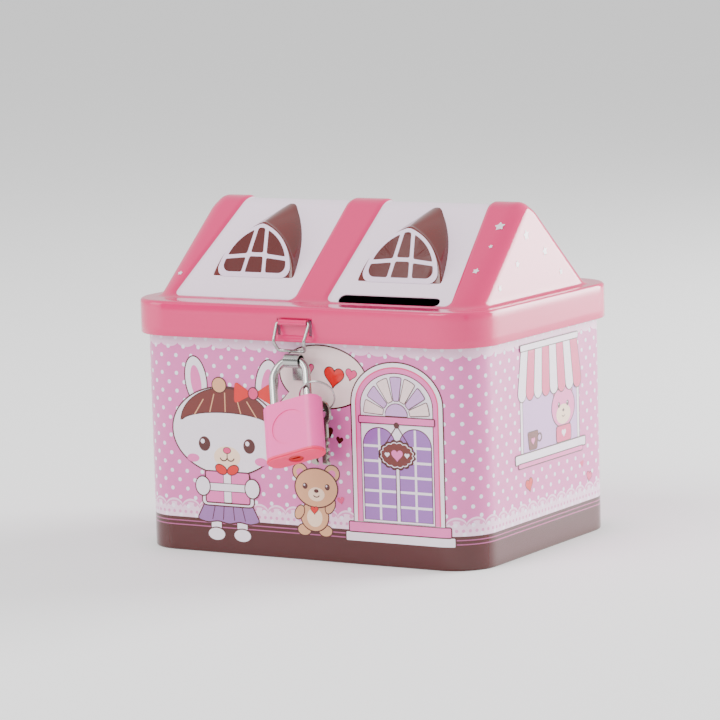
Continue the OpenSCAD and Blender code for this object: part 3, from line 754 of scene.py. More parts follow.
def soften(outline, radius, steps=5):
    """Outline with each corner replaced by a short curve between points set back along both edges."""
    result = []
    before, after = np.roll(outline, 1, 0), np.roll(outline, -1, 0)
    for a, p, b in zip(before, outline, after):
        back_in, out = a - p, b - p
        la, lb = np.linalg.norm(back_in), np.linalg.norm(out)
        if min(la, lb) < 1e-7:
            continue
        start, end = p + back_in / la * min(radius, la / 2), p + out / lb * min(radius, lb / 2)
        for t in np.linspace(0, 1, steps):
            result.append((1 - t) ** 2 * start + 2 * t * (1 - t) * p + t ** 2 * end)
    return np.array(result)


def ink_mesh(name, shapes, mapper, cuts=()):
    """Flat shapes (outline, lift, material index) filled with triangles, cut along some x values so that
    they can bend, and mapped into place. Returns the mesh with its material indices set."""
    points, faces, kinds = [], [], []
    for outline, lift, kind in shapes:
        work = bmesh.new()
        corners = [work.verts.new((x, y, 0)) for x, y in np.asarray(outline)]
        fill = work.faces.new(corners)
        if fill.normal.z < 0 or sum(x0 * y1 - x1 * y0 for (x0, y0), (x1, y1) in zip(
                outline, np.roll(outline, -1, 0))) < 0:
            fill.normal_flip()
        bmesh.ops.triangulate(work, faces=work.faces[:])
        low, high = min(v.co.x for v in work.verts), max(v.co.x for v in work.verts)
        for x in cuts:
            if low < x < high:
                bmesh.ops.bisect_plane(work, geom=work.verts[:] + work.edges[:] + work.faces[:], dist=1e-7,
                                       plane_co=(x, 0, 0), plane_no=(1, 0, 0))
        work.verts.index_update()
        base = len(points) and sum(len(p) for p in points)
        flat = np.array([v.co[:2] for v in work.verts])
        points.append(mapper(flat, lift))
        faces += [[base + v.index for v in f.verts] for f in work.faces]
        kinds += [kind] * len(work.faces)
        work.free()
    mesh = mesh_from(name, np.concatenate(points), faces)
    mesh.polygons.foreach_set("material_index", np.array(kinds, np.int32))
    return mesh


# %% Window on a dormer's face
frame_outline = ogive(31.0 * MM, 20.6 * MM, 3.4 * MM, 4.7 * MM)
glass_outline = ogive(26.6 * MM, 17.2 * MM, 2.6 * MM, 6.6 * MM)
window_shapes = [(frame_outline, 0.25 * MM, 0)]
BAR, SPLIT, CROSS, LEAN_IN = 0.75 * MM, 5.2 * MM, 13.4 * MM, 0.13
for column in (-1, 0, 1):
    for row in (-1, 1):
        if column:
            pane = clip(glass_outline, np.array([-column, -LEAN_IN]), -SPLIT - BAR)
        else:
            pane = clip(glass_outline, np.array([1.0, LEAN_IN]), SPLIT - BAR)
            pane = clip(pane, np.array([-1.0, LEAN_IN]), SPLIT - BAR)
        pane = clip(pane, np.array([-0.10 * column * row, -row]), -row * CROSS - BAR)
        window_shapes.append((soften(pane, 0.8 * MM), 0.29 * MM, 1))
window_mesh = ink_mesh("window", window_shapes, leaning)

# %% Four dormers
def mirrored(mesh, name, flip_x, flip_y):
    """A copy mirrored across the middle planes, with its faces turned back outwards."""
    copy = mesh.copy()
    copy.name = name
    copy.transform(Matrix.Diagonal((-1 if flip_x else 1, -1 if flip_y else 1, 1, 1)))
    if flip_x != flip_y:
        copy.flip_normals()
    return copy


brown_gloss = printed("dormer_brown", DORMER, 0.14, 0.8)
pale_gloss = printed("window_pale", srgb(240, 226, 242), 0.18)
pane_brown = printed("pane_brown", srgb(120, 34, 26), 0.16)
dormer_mesh = mesh_from("dormer", dormer_points, dormer_faces)
tidy(dormer_mesh, 1e-6, recalculate=True)
dormer_mesh.set_sharp_from_angle(angle=math.radians(60))
for side, end in ((0, 0), (1, 0), (0, 1), (1, 1)):
    label = ("right", "left")[side] + ("_front", "_back")[end]
    piece("dormer_" + label, mirrored(dormer_mesh, "dormer_" + label, side, end), "lid", "pink_tin",
          brown_gloss)
    piece("window_" + label, mirrored(window_mesh, "window_" + label, side, end), "lid", "pink_tin",
          pale_gloss, pane_brown)

# %% [markdown]
# ## Wire and plate fittings
# A wire is a circle carried along a path whose corners have been rounded. A rolled
# plate is a ribbon: a line in the Y-Z plane thickened both ways and drawn out along X.

# %% Sweep helpers
def bend(corners, radius, steps=8):
    """A path through corner points with each inner corner turned into a smooth curve."""
    corners = np.asarray(corners, float)
    path = [corners[0]]
    for a, p, b in zip(corners[:-2], corners[1:-1], corners[2:]):
        la, lb = np.linalg.norm(a - p), np.linalg.norm(b - p)
        start, end = p + (a - p) / la * min(radius, 0.45 * la), p + (b - p) / lb * min(radius, 0.45 * lb)
        t = np.linspace(0, 1, steps)[:, None]
        path += list((1 - t) ** 2 * start + 2 * t * (1 - t) * p + t ** 2 * end)
    return np.array(path + [corners[-1]])


def tube(name, path, radius, sides=20, closed=False):
    """Round wire along a path. Each ring lies square to the path, turned as little as possible from the
    ring before, and an open wire's ends are rounded off."""
    path = np.asarray(path, float)
    ahead, behind = np.roll(path, -1, 0), np.roll(path, 1, 0)
    if not closed:
        ahead[-1], behind[0] = path[-1], path[0]
    tangent = ahead - behind
    tangent /= np.linalg.norm(tangent, axis=1)[:, None]
    normal = np.cross(tangent[0], [0.31, 0.17, 0.93])
    normals = []
    for t in tangent:
        normal = normal - t * np.dot(normal, t)
        normal /= np.linalg.norm(normal)
        normals.append(normal)
    normals = np.array(normals)
    across = np.cross(tangent, normals)
    turn = np.linspace(0, 2 * math.pi, sides, endpoint=False)
    scale = np.full(len(path), radius)
    centres = path
    if not closed:
        ends = np.linspace(0, math.pi / 2, 5)[:-1]
        centres = np.concatenate([[path[0] + tangent[0] * radius * (1 - math.sin(e)) for e in ends],
                                  path[1:-1],
                                  [path[-1] - tangent[-1] * radius * (1 - math.sin(e)) for e in ends[::-1]]])
        scale = np.concatenate([radius * np.cos(math.pi / 2 - ends), np.full(len(path) - 2, radius),
                                radius * np.cos(math.pi / 2 - ends[::-1])])
        pick = np.concatenate([np.zeros(len(ends), int), np.arange(1, len(path) - 1),
                               np.full(len(ends), len(path) - 1)])
        normals, across = normals[pick], across[pick]
    ring = (normals[:, None] * np.cos(turn)[None, :, None] + across[:, None] * np.sin(turn)[None, :, None])
    points = centres[:, None] + ring * scale[:, None, None]
    mesh = mesh_from(name, points, grid_faces(*points.shape[:2], wrap_cols=True, wrap_rows=closed))
    return tidy(mesh, 1e-7, recalculate=True)


def ribbon(name, line, thickness, low, high, corner=0.25 * MM):
    """Plate bent along a line in (y, z), as wide as low to high along X."""
    line = np.asarray(line, float)
    step = np.gradient(line, axis=0)
    side = np.stack([-step[:, 1], step[:, 0]], 1)
    side /= np.linalg.norm(side, axis=1)[:, None]
    outline = np.concatenate([line + side * thickness / 2, (line - side * thickness / 2)[::-1]])
    n = len(outline)
    points = np.concatenate([np.column_stack([np.full(n, x), outline]) for x in (low, low + corner,
                                                                                 high - corner, high)])
    middle = outline.mean(0)
    faces = [tuple(r * n + np.array([i, (i + 1) % n, n + (i + 1) % n,
                                     n + i])) for r in range(3) for i in range(n)]
    m = len(line)
    for base in (0, 3 * n):
        faces += [(base + i, base + i + 1, base + n - 2 - i, base + n - 1 - i) for i in range(m - 1)]
    mesh = mesh_from(name, points, faces)
    tidy(mesh, 1e-7, recalculate=True)
    mesh.set_sharp_from_angle(angle=math.radians(40))
    return mesh


# %% Hasp, its tab and the lock eye
BAIL_Y, BAIL_Z, BAIL_R = -56.83 * MM, LEDGE_Z - 5.5 * MM, 0.6 * MM
EYE_Y, EYE_Z = joints["padlock_swing"]["pos_m"][1:]
turn = np.radians(np.linspace(0, 235, 30))
curl = np.stack([BAIL_Y + 0.905 * MM * np.cos(turn), BAIL_Z + 0.905 * MM * np.sin(turn)], 1)
tab_line = np.concatenate([[[-55.74 * MM, 80.85 * MM], [-55.78 * MM, 82.5 * MM], [-55.86 * MM, 84.2 * MM]],
                           curl])
piece("hasp_tab", ribbon("hasp_tab", tab_line, 0.42 * MM, HASP_X - 5.8 * MM, HASP_X + 5.8 * MM), "lid",
      "pink_tin",
      printed("tab_pink", PINK, 0.15, 0.7), replaces=("skirt_tab",))

top, kink, low = np.array([6.7, BAIL_Y / MM, BAIL_Z / MM]), np.array([6.2, BAIL_Y / MM - 3.6,
                                                                      BAIL_Z / MM - 6.6]), np.array(
    [5.5, BAIL_Y / MM - 1.3, BAIL_Z / MM - 9.85])
flip = np.array([-1, 1, 1])
loop = np.array([low * (0.02, 1, 1), low, kink, top, top * flip, kink * flip, low * flip,
                 low * (-0.02, 1, 1)]) * MM
loop[:, 0] += HASP_X
piece("hasp_wire", tube("hasp_wire", bend(loop, 1.3 * MM), BAIL_R), "hasp", "bright_steel", wire_steel,
      replaces=("hasp_bail",))

turn = np.radians(np.linspace(-90, -412, 48))
roll = np.stack([EYE_Y + 2.34 * MM * np.cos(turn), EYE_Z + 2.34 * MM * np.sin(turn)], 1)
strap = bend([(-53.2 * MM, 64.5 * MM, 0), (-53.2 * MM, EYE_Z - 2.34 * MM, 0),
              (EYE_Y, EYE_Z - 2.34 * MM, 0)], 1.0 * MM)[:-1, :2]
piece("rolled_eye", ribbon("rolled_eye", np.concatenate([strap, roll]), 0.38 * MM, HASP_X - 3 * MM,
                           HASP_X + 3 * MM), "box",
      "bright_steel", steel, replaces=("lock_eye",))

# %% Padlock's own frame
lock_up = -Vector(joints["case_drop"]["axis"])
lock_right = -Vector(joints["bolt_slide"]["axis"])
lock_back = lock_up.cross(lock_right)
swing_at = Vector(joints["padlock_swing"]["pos_m"])
lock_centre = swing_at - 6.17 * MM * Vector((1, 0, 0)).cross(lock_back)
LOCK = np.array([lock_right, lock_back, lock_up])


def in_lock(points):
    """Points of the padlock's frame, in mm, in the object's frame."""
    return np.asarray(points, float) * MM @ LOCK + np.array(lock_centre)


def coil(name, start, axis, length, radius, wire, turns):
    """Compression spring with closed ends: a helix whose pitch is small at both ends."""
    t = np.linspace(0, 1, int(turns * 24))
    rise = np.clip((t - 0.08) / 0.84, 0, 1) * (length - 2 * wire) + wire
    angle = 2 * math.pi * turns * t
    if axis == "z":
        local = np.stack([start[0] + radius * np.cos(angle), start[1] + radius * np.sin(angle),
                          start[2] + rise], 1)
    else:
        local = np.stack([start[0] + rise, start[1] + radius * np.cos(angle),
                          start[2] + radius * np.sin(angle)], 1)
    return tube(name, in_lock(local), wire * MM, 10)


piece("coil_shackle", coil("coil_shackle", (-6.65, 0, -28.8), "z", 6.3, 1.15, 0.22, 7), "case",
      "spring_steel", spring_steel,
      replaces=("shackle_spring",))
bolt_lo, bolt_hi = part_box("bolt_spring")
bolt_mid = (np.array(bolt_lo + bolt_hi) / 2 - np.array(lock_centre)) @ LOCK.T / MM
BOLT_LEN = 5.65 - 0.12 - 3.4 - 0.5 + 2.5 - 0.1
piece("coil_bolt", coil("coil_bolt", (-2.0, 0, -13.0), "x", BOLT_LEN, 0.55, 0.16, 6), "case",
      "spring_steel", spring_steel,
      replaces=("bolt_spring",))
print("bolt spring middle in the padlock's frame:", bolt_mid.round(2), "length", round(BOLT_LEN, 2))

# %% Split ring
ring_lo, ring_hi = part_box("key_ring")
ring_centre = np.array(ring_lo + ring_hi) / 2
RING_R, SLOPE = 6.25 * MM, math.radians(57)
ring_across = LOCK[0]
ring_down = LOCK[1] * math.sin(SLOPE) - LOCK[2] * math.cos(SLOPE)
ring_normal = np.cross(ring_across, ring_down)
angle = np.linspace(0, 4 * math.pi, 150)
rise = (np.clip((angle - 1.75 * math.pi) / (0.5 * math.pi), 0, 1) - 0.5) * 0.5 * MM
ring_path = ring_centre + RING_R * (np.cos(angle)[:, None] * ring_across + np.sin(angle)[:,
                                                                                         None] * ring_down) + rise[
    :, None] * ring_normal
piece("split_ring", tube("split_ring", ring_path, 0.27 * MM, 12), "ring", "plated_steel", steel,
      replaces=("key_ring",))
print("ring centre in mm:", (ring_centre / MM).round(2))

# %% [markdown]
# ## Parts kept from the CAD
# Hinge, pin, base, keys and the padlock's parts keep their CAD surfaces. They get
# their own finishes, and small bevels catch the light on the moulded case.

# %% Finishes and bevels for CAD parts
def moulded(name, colour, gloss, subsurface=0.15):
    """Satin moulded plastic, slightly translucent."""
    material, tree, shader = start_material(name, lacquer, 0.15, Gloss=gloss, Spread=0.1, Wave=0.18,
                                            Size=900.0)
    tree.links.new(toned(tree, colour, 0.04), shader.inputs["Base Color"])
    shader.inputs["Subsurface Weight"].default_value = subsurface
    shader.inputs["Subsurface Radius"].default_value = (1.0, 0.35, 0.5)
    shader.inputs["Subsurface Scale"].default_value = 0.0012
    return material


case_pink = moulded("case_pink", srgb(254, 120, 194), 0.38)
base_pink = moulded("base_pink", srgb(251, 70, 140), 0.4)
plug_red = moulded("plug_red", srgb(216, 26, 40), 0.35, 0.05)
key_metal = metal("key_nickel", srgb(188, 184, 176), 0.24, 0.3)
cast = metal("cast_core", srgb(170, 160, 130), 0.45, 0.2)
base_tin = printed("base_brown", BROWN, 0.22)
cad_finish = {"base_panel": base_tin, "body_hinge_leaf": steel, "lid_hinge_leaf": steel, "hinge_pin": steel,
              "padlock_jacket": case_pink, "padlock_base": base_pink, "padlock_core": cast,
              "shackle": steel,
              "lock_plug": plug_red, "locking_bolt": steel, "plug_retainer": spring_steel,
              "key_1": key_metal,
              "key_2": key_metal}
for node, material in cad_finish.items():
    part = frame["nodes"][node]
    part.data.materials.clear()
    part.data.materials.append(material)
for node, width in (("padlock_jacket", 0.35), ("padlock_base", 0.3), ("key_1", 0.12), ("key_2", 0.12),
                    ("body_hinge_leaf", 0.12), ("lid_hinge_leaf", 0.12), ("base_panel", 0.3)):
    bevel = frame["nodes"][node].modifiers.new("soft_edges", "BEVEL")
    bevel.width, bevel.segments, bevel.limit_method, bevel.angle_limit = width * MM, 3, "ANGLE", math.radians(40)
    bevel.harden_normals = False
print("finished CAD parts:", len(cad_finish))

# %% [markdown]
# ## Printed pictures
# Every picture is a stack of flat inks, as on real tin: a dark shape a little larger
# lies under each light one and shows as its outline. Shapes are drawn in
# millimetres on the unrolled sheet, where x is the distance round from the middle
# of the front. A shape lies one layer above whatever its own box overlaps.

# %% Drawing helpers
def ellipse(x, y, rx, ry, turn=0.0, count=40):
    """Ellipse about a point, turned by some degrees."""
    t = np.linspace(0, 2 * math.pi, count, endpoint=False)
    c, s = math.cos(math.radians(turn)), math.sin(math.radians(turn))
    a, b = rx * np.cos(t), ry * np.sin(t)
    return np.stack([x + a * c - b * s, y + a * s + b * c], 1)


def box(x0, y0, x1, y1, round_by=0.4):
    """Upright rectangle with softened corners."""
    return soften(np.array([(x0, y0), (x1, y0), (x1, y1), (x0, y1)], float), round_by, 4)


def arch(x0, x1, low, spring, high, count=28):
    """Rectangle with a half-ellipse on top."""
    t = np.linspace(0, math.pi, count)
    half = (x1 - x0) / 2
    top = np.stack([(x0 + x1) / 2 + half * np.cos(t), spring + (high - spring) * np.sin(t)], 1)
    return np.concatenate([top, [(x0, low), (x1, low)]])


def heart(x, y, size, turn=0.0, count=40):
    """Heart about a point: x goes as the cube of a sine, y as a sum of cosines."""
    t = np.linspace(0, 2 * math.pi, count, endpoint=False)
    a = np.sin(t) ** 3 * size
    b = (13 * np.cos(t) - 5 * np.cos(2 * t) - 2 * np.cos(3 * t) - np.cos(4 * t)) / 16 * size
    c, s = math.cos(math.radians(turn)), math.sin(math.radians(turn))
    return np.stack([x + a * c - b * s, y + a * s + b * c], 1)[::-1]


def star(x, y, size, turn=0.0):
    """Five-pointed star with soft points."""
    t = np.radians(90 + turn + 36 * np.arange(10))
    r = size * np.where(np.arange(10) % 2, 0.48, 1.0)
    return soften(np.stack([x + r * np.cos(t), y + r * np.sin(t)], 1), 0.25 * size, 4)


def scallop(x, y, rx, ry, bumps, depth, count=96):
    """Ellipse whose edge is a row of round bumps."""
    t = np.linspace(0, 2 * math.pi, count, endpoint=False)
    k = 1 + depth * np.abs(np.sin(bumps * t / 2))
    return np.stack([x + rx * k * np.cos(t), y + ry * k * np.sin(t)], 1)


def stroke(points, width):
    """Line of one width through points, with blunt ends."""
    points = np.asarray(points, float)
    step = np.gradient(points, axis=0)
    side = np.stack([-step[:, 1], step[:, 0]], 1)
    side *= width / 2 / np.linalg.norm(side, axis=1)[:, None]
    return np.concatenate([points - side, (points + side)[::-1]])


def curve(x, y, rx, ry, start, end, count=14):
    """Points on part of an ellipse, by angle in degrees."""
    t = np.radians(np.linspace(start, end, count))
    return np.stack([x + rx * np.cos(t), y + ry * np.sin(t)], 1)


def grown(outline, by):
    """Outline moved outwards along its own corners' normals."""
    step = np.roll(outline, -1, 0) - np.roll(outline, 1, 0)
    length = np.linalg.norm(step, axis=1)[:, None]
    return outline + np.stack([step[:, 1], -step[:, 0]], 1) / np.maximum(length, 1e-9) * by


class Picture:
    """Collects shapes, each with an ink and its layer."""

    def __init__(self, shift=0.0):
        self.shapes, self.boxes, self.shift = [], [], shift

    def ink(self, outline, kind, line=0.0):
        """Adds a shape, over a dark one grown by the line's width if there is a line."""
        if line:
            self.ink(grown(outline, line), "line")
        outline = np.asarray(outline) + (self.shift, 0)
        low, high = outline.min(0), outline.max(0)
        under = [layer for a, b, layer in self.boxes if (a < high).all() and (b > low).all()]
        layer = 1 + max(under, default=0)
        self.boxes.append((low, high, layer))
        self.shapes.append((outline * MM, layer * LAYER, INKS.index(kind)))


INK_COLOURS = {
    "line": srgb(112, 42, 36), "white": srgb(240, 232, 240), "pink": srgb(236, 140, 196),
    "rose": srgb(230, 92, 152),
    "purple": srgb(176, 130, 196), "lilac": srgb(214, 180, 222), "red": srgb(222, 44, 40),
    "hair": srgb(138, 62, 52),
    "face": srgb(240, 222, 222), "tan": srgb(226, 184, 150), "cream": srgb(246, 224, 204),
    "cloth": srgb(176, 136, 186)}
INKS = list(INK_COLOURS)
LAYER = 0.016 * MM
ink_materials = [printed("ink_" + key, colour, 0.18, 0.6) for key, colour in INK_COLOURS.items()]


def wall_place(flat, lift):
    """Points of the unrolled sheet (distance from the front's middle, height) on the wall, lifted outwards."""
    along_wall, sign = np.abs(flat[:, 0]), np.where(flat[:, 0] < 0, -1, 1)
    turn = np.clip((along_wall - FRONT_RUN / 2) / WALL_R, 0, math.pi / 2)
    run = np.minimum(along_wall, FRONT_RUN / 2)
    beyond = np.maximum(along_wall - FRONT_RUN / 2 - CORNER_RUN, 0)
    reach = WALL_R + lift
    return np.stack([sign * (run + reach * np.sin(turn)),
                     -(WALL_Y - WALL_R) - reach * np.cos(turn) + beyond, flat[:, 1]], 1)


def paint(name, picture, mapper, body, slot):
    """One piece made of a picture's shapes."""
    cuts = [side * (FRONT_RUN / 2 + k * MM) for side in (-1, 1) for k in np.arange(0, 9, 0.8)]
    return piece(name, ink_mesh(name, picture.shapes, mapper, cuts), body, slot, *ink_materials)


# %% Door
door = Picture()
door.ink(box(18, 8.5, 61.4, 11.6), "white", 0.45)
door.ink(box(19.4, 11.9, 60, 15.2), "pink", 0.45)
door.ink(arch(21.5, 57.9, 15.5, 57.7, 72.4), "white", 0.5)
door.ink(arch(22.9, 56.5, 15.6, 57.5, 71.0), "rose")
door.ink(arch(23.4, 56.0, 15.7, 57.4, 70.5), "pink")
door.ink(arch(25.3, 54.1, 15.8, 57.0, 68.6), "white", 0.35)
middle_x, hub_z = 39.7, 53.8
for k in range(7):
    a, b = 180 - k * 180 / 7 - 3.2, 180 - (k + 1) * 180 / 7 + 3.2
    rim = curve(middle_x, hub_z, 13.2, 13.6, b, a, 8)
    core = curve(middle_x, hub_z, 5.6, 5.4, a, b, 5)
    door.ink(soften(np.concatenate([rim, core]), 0.4, 3), "lilac" if k % 2 else "face", 0.28)
door.ink(np.concatenate([curve(middle_x, hub_z, 4.4, 4.2, 0, 180, 14)]), "lilac", 0.28)
door.ink(box(24.6, 51.0, 54.8, 53.2, 0.3), "pink", 0.35)
for side in (-1, 1):
    low, high = sorted((middle_x + side * 0.9, middle_x + side * 13.6))
    door.ink(arch(low, high, 16.6, 43.2, 49.2), "purple", 0.35)
    door.ink(box((low + high) / 2 - 0.45, 16.7, (low + high) / 2 + 0.45, 49.1, 0.1), "white")
    for z in (21.6, 26.9, 32.2, 37.5, 42.8):
        door.ink(box(low + 0.05, z - 0.45, high - 0.05, z + 0.45, 0.1), "white")
for side in (-1, 1):
    door.ink(stroke([(middle_x, 50.4), (middle_x + side * 4.6, 43.9)], 0.4), "line")
door.ink(ellipse(middle_x, 50.5, 1.1, 1.1), "line")
door.ink(scallop(39.6, 40.0, 6.9, 4.9, 16, 0.12), "line")
door.ink(scallop(39.6, 40.0, 6.2, 4.2, 16, 0.10), "white")
door.ink(scallop(39.6, 40.0, 5.9, 3.9, 16, 0.10), "hair")
door.ink(heart(39.6, 40.0, 2.3), "pink")
door.ink(heart(35.6, 40.0, 1.0), "white")
door.ink(heart(43.6, 40.0, 1.0), "white")
paint("print_door", door, wall_place, "box", "printed_wall")


# %% Rabbit, bear and bubble
def eyes(picture, places, size):
    """Dark round eyes with one highlight each."""
    for x, z in places:
        picture.ink(ellipse(x, z, size, size * 1.08, count=24), "line")
        picture.ink(ellipse(x - 0.3 * size, z + 0.36 * size, 0.34 * size, 0.34 * size, count=16), "white")


rabbit = Picture()
for x, turn in ((-43.5, 8), (-13.5, -10)):
    rabbit.ink(ellipse(x, 62.5, 4.4, 8.6, turn), "white", 0.5)
    rabbit.ink(ellipse(x, 62.0, 2.2, 6.0, turn), "pink")
for x in (-36.6, -25.6):
    rabbit.ink(box(x - 2.1, 7.0, x + 2.1, 13.5, 0.8), "white", 0.4)
    rabbit.ink(ellipse(x, 6.9, 3.5, 2.2), "white", 0.45)
skirt = np.array([(-44.4, 12.2), (-40.2, 11.2), (-35.8, 12.0), (-31.2, 11.0), (-26.6, 12.0), (-22.2, 11.2),
                  (-18.2, 12.2),
                  (-22.4, 20), (-40, 20)], float)
rabbit.ink(soften(skirt, 1.2), "cloth", 0.5)
for x0, x1 in ((-36.6, -38.2), (-33.0, -33.6), (-29.4, -28.8), (-25.8, -24.2)):
    rabbit.ink(stroke([(x0, 18.6), (x1, 12.2)], 0.35), "line")
rabbit.ink(soften(np.array([(-42.5, 17.5), (-20.0, 17.5), (-22.5, 31), (-40, 31)], float), 2.5), "white",
           0.5)
rabbit.ink(ellipse(-31.4, 44.6, 22.4, 15.8, count=64), "white", 0.55)
cap = np.concatenate([curve(-31.3, 47.0, 19.0, 13.0, 4, 176, 36),
                      curve(-31.3, 47.4, 19.0, 4.2, 176, 4, 24)[1:-1]])
rabbit.ink(cap, "hair", 0.45)
for k in (-2, -1, 0, 1, 2):
    rabbit.ink(stroke([(-31.3 + 6.6 * k, 51.6 - 0.4 * k * k), (-31.3 + 4.6 * k, 58.6 - 0.7 * k * k)], 0.4),
               "tan")
rabbit.ink(ellipse(-33.6, 61.2, 2.8, 2.6), "tan", 0.4)
eyes(rabbit, ((-40.6, 39.6), (-21.6, 39.6)), 2.5)
for x in (-45.6, -16.8):
    rabbit.ink(ellipse(x, 34.2, 2.6, 1.5), "pink")
rabbit.ink(ellipse(-31.1, 35.2, 5.6, 3.9), "cream")
rabbit.ink(ellipse(-31.1, 37.6, 1.5, 1.0, count=20), "rose", 0.25)
rabbit.ink(stroke([(-31.1, 36.6), (-31.1, 34.9)], 0.4), "line")
for side in (-1, 1):
    rabbit.ink(stroke(curve(-31.1 + side * 1.5, 35.1, 1.5, 1.3, 190, 350, 9), 0.45), "line")
rabbit.ink(box(-40.4, 18.6, -22.2, 29.6, 0.6), "pink", 0.5)
rabbit.ink(box(-32.8, 18.7, -29.8, 29.5, 0.2), "white", 0.25)
rabbit.ink(box(-40.3, 22.8, -22.3, 25.4, 0.2), "white", 0.25)
for side in (-1, 1):
    rabbit.ink(ellipse(-31.3 + side * 2.5, 30.6, 2.4, 1.5, side * 24), "red", 0.35)
for x in (-41.8, -20.8):
    rabbit.ink(ellipse(x, 24.2, 2.9, 3.3), "white", 0.45)
for side in (-1, 1):
    bow = np.array([(-19.2, 58.6), (-19.2 + side * 7.8, 63.2), (-19.2 + side * 8.2, 54.6)], float)[::side]
    rabbit.ink(soften(bow, 2.2, 8), "red", 0.5)
rabbit.ink(ellipse(-19.2, 58.8, 1.9, 2.0), "rose", 0.4)
paint("print_rabbit", rabbit, wall_place, "box", "printed_wall")

bear = Picture()
for x in (-0.6, 12.6):
    bear.ink(ellipse(x, 31.8, 2.9, 2.8), "tan", 0.45)
    bear.ink(ellipse(x, 31.6, 1.5, 1.4), "pink")
bear.ink(ellipse(0.6, 11.0, 2.6, 1.9), "tan", 0.45)
bear.ink(ellipse(9.4, 11.0, 2.6, 1.9), "tan", 0.45)
bear.ink(ellipse(5.0, 16.0, 5.6, 5.2), "tan", 0.45)
bear.ink(ellipse(5.0, 15.6, 3.2, 3.4), "cream")
bear.ink(ellipse(-1.2, 17.2, 1.6, 2.6, -30), "tan", 0.4)
bear.ink(ellipse(11.6, 20.0, 1.6, 2.8, -30), "tan", 0.4)
bear.ink(ellipse(6.0, 26.3, 8.6, 6.8, count=48), "tan", 0.5)
bear.ink(ellipse(6.0, 24.0, 3.4, 2.5), "cream")
eyes(bear, ((1.4, 26.8), (10.6, 26.8)), 1.05)
bear.ink(ellipse(6.0, 25.2, 1.0, 0.7, count=18), "line")
bear.ink(stroke(curve(6.0, 24.0, 1.3, 1.0, 200, 340, 8), 0.4), "line")
bear.ink(heart(5.0, 18.4, 1.5), "red", 0.2)
bear.ink(heart(16.0, 22.5, 1.5, 12), "rose")
paint("print_bear", bear, wall_place, "box", "printed_wall")

bubble = Picture()
bubble.ink(soften(np.array([(-5.2, 59.4), (-9.6, 55.2), (-0.6, 57.0)], float), 0.5), "line")
bubble.ink(ellipse(10.0, 66.2, 17.6, 10.9, -4, 64), "face", 0.55)
bubble.ink(soften(np.array([(-3.6, 60.6), (-7.9, 56.2), (1.0, 58.0)], float), 0.5), "face")
bubble.ink(heart(14.6, 66.6, 3.9, -8), "red", 0.35)
bubble.ink(heart(21.6, 67.6, 2.2, -14), "rose", 0.25)
bubble.ink(heart(4.6, 69.0, 1.8, 10), "rose", 0.25)
bubble.ink(heart(11.6, 46.5, 2.2, 14), "line")
bubble.ink(heart(16.2, 44.0, 1.5, -10), "line")
paint("print_bubble", bubble, wall_place, "box", "printed_wall")


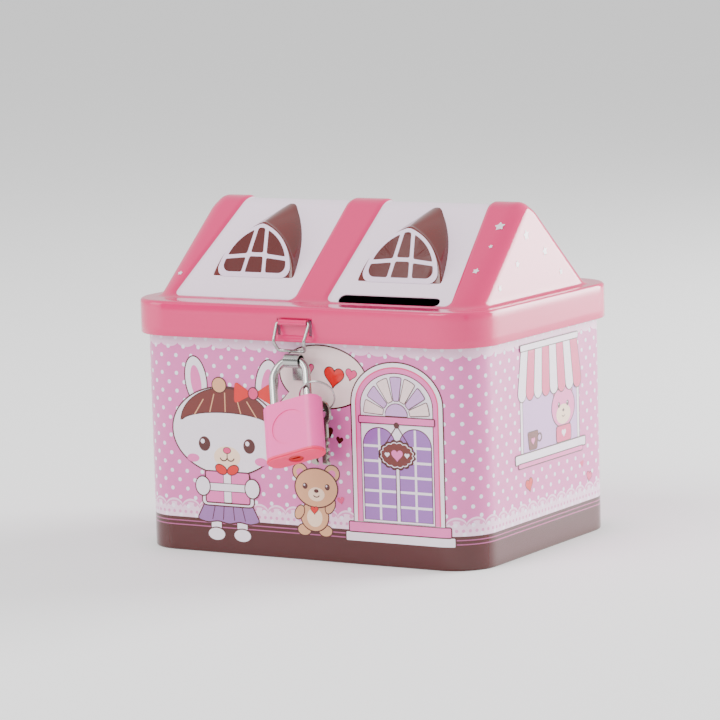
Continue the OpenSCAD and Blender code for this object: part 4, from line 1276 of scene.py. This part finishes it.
# %% Shop window on both ends
def shop_window(name, shift):
    """Awning, sill, a cat with a bow behind the sill and a cup, on the sheet at a given shift."""
    shop = Picture(shift)
    shop.ink(box(-18.4, 35.6, 26.0, 60.0, 0.4), "white", 0.45)
    shop.ink(box(-16.6, 36.6, 24.2, 59.0, 0.3), "lilac", 0.3)
    for x in (9.0, 18.4):
        shop.ink(soften(np.array([(x - 2.6, 54.0), (x + 2.6, 54.0), (x + (1.4 if x > 13 else -1.4), 60.2)],
                                 float), 0.9),
                 "pink", 0.4)
    shop.ink(ellipse(13.7, 49.4, 8.6, 7.2, count=48), "pink", 0.45)
    shop.ink(ellipse(13.7, 46.8, 5.4, 3.6, count=40), "cream")
    eyes(shop, ((10.4, 50.4), (17.0, 50.4)), 0.95)
    shop.ink(ellipse(13.7, 48.2, 0.8, 0.6, count=16), "line")
    shop.ink(stroke(curve(13.7, 46.8, 1.2, 0.9, 200, 340, 8), 0.35), "line")
    shop.ink(box(8.2, 37.0, 19.2, 42.6, 1.2), "rose", 0.4)
    shop.ink(heart(13.7, 40.0, 1.6), "white")
    shop.ink(ellipse(-4.6, 41.0, 1.9, 1.7), "line")
    shop.ink(ellipse(-4.8, 41.0, 1.1, 1.0), "lilac")
    cup = np.array([(-13.4, 43.6), (-12.4, 37.4), (-6.8, 37.4), (-5.8, 43.6)], float)
    shop.ink(soften(cup, 0.8), "hair", 0.35)
    shop.ink(heart(-9.6, 40.4, 1.4), "pink")
    shop.ink(box(-22.8, 33.4, 30.2, 36.4, 0.5), "white", 0.45)
    shop.ink(box(-20.6, 31.8, 28.0, 33.2, 0.3), "pink", 0.4)
    edges = np.linspace(-20, 27.5, 9)
    tops = np.linspace(-17.0, 24.5, 9)
    for k in range(8):
        a, b = edges[k], edges[k + 1]
        drop = curve((a + b) / 2, 58.4, (b - a) / 2, 3.2, 180, 360, 12)
        stripe = np.concatenate([drop, [(tops[k + 1], 74.0), (tops[k], 74.0)]])
        shop.ink(stripe, "rose" if k % 2 else "white", 0.35)
    shop.ink(box(-18.0, 73.2, 25.5, 75.2, 0.4), "white", 0.35)
    shop.ink(heart(-13.0, 25.2, 2.6, 12), "red", 0.3)
    shop.ink(heart(33.0, 21.2, 2.0, -12), "rose", 0.25)
    shop.ink(heart(27.6, 26.6, 1.4, 8), "rose")
    paint(name, shop, wall_place, "box", "printed_wall")


shop_window("print_shop_right", 116.56)
shop_window("print_shop_left", -116.56)


# %% Stars on the roof's ribs and ends
def slope_map(flat, lift):
    """Points (x, distance up the slope) on the front slope's ribs."""
    y = -FOOT_Y + flat[:, 1] * math.cos(PITCH) - (lift + STAR_LIFT) * math.sin(PITCH)
    z = LEDGE_Z + flat[:, 1] * math.sin(PITCH) + (lift + STAR_LIFT) * math.cos(PITCH)
    return np.stack([flat[:, 0], y, z], 1)


def gable_map(flat, lift):
    """Points (y, height) on the right-hand end of the roof."""
    x = FOOT_X + (TOP_X - FOOT_X) * (flat[:, 1] - LEDGE_Z) / (ROOF_TOP - LEDGE_Z) + lift + STAR_LIFT
    return np.stack([x, flat[:, 0], flat[:, 1]], 1)


STAR_LIFT = 0.08 * MM
slope_stars = Picture()
for x, up, size, turn in ((60.2, 40.5, 2.3, 12), (59.6, 18.4, 1.5, -10), (60.6, 30.5, 1.0, 20),
                          (-61.0, 12.0, 1.2, 5)):
    slope_stars.ink(star(x, up, size, turn), "white")
paint("print_stars_front", slope_stars, slope_map, "lid", "pink_tin")
gable_stars = Picture()
for y, z, size, turn in ((-4.0, 113.0, 2.2, 10), (-12.0, 103.5, 1.6, -12), (9.0, 106.0, 1.9, 16),
                         (20.0, 97.5, 1.4, 0),
                         (-26.0, 96.5, 1.5, 22)):
    gable_stars.ink(star(y, z, size, turn), "white")
paint("print_stars_end", gable_stars, gable_map, "lid", "pink_tin")
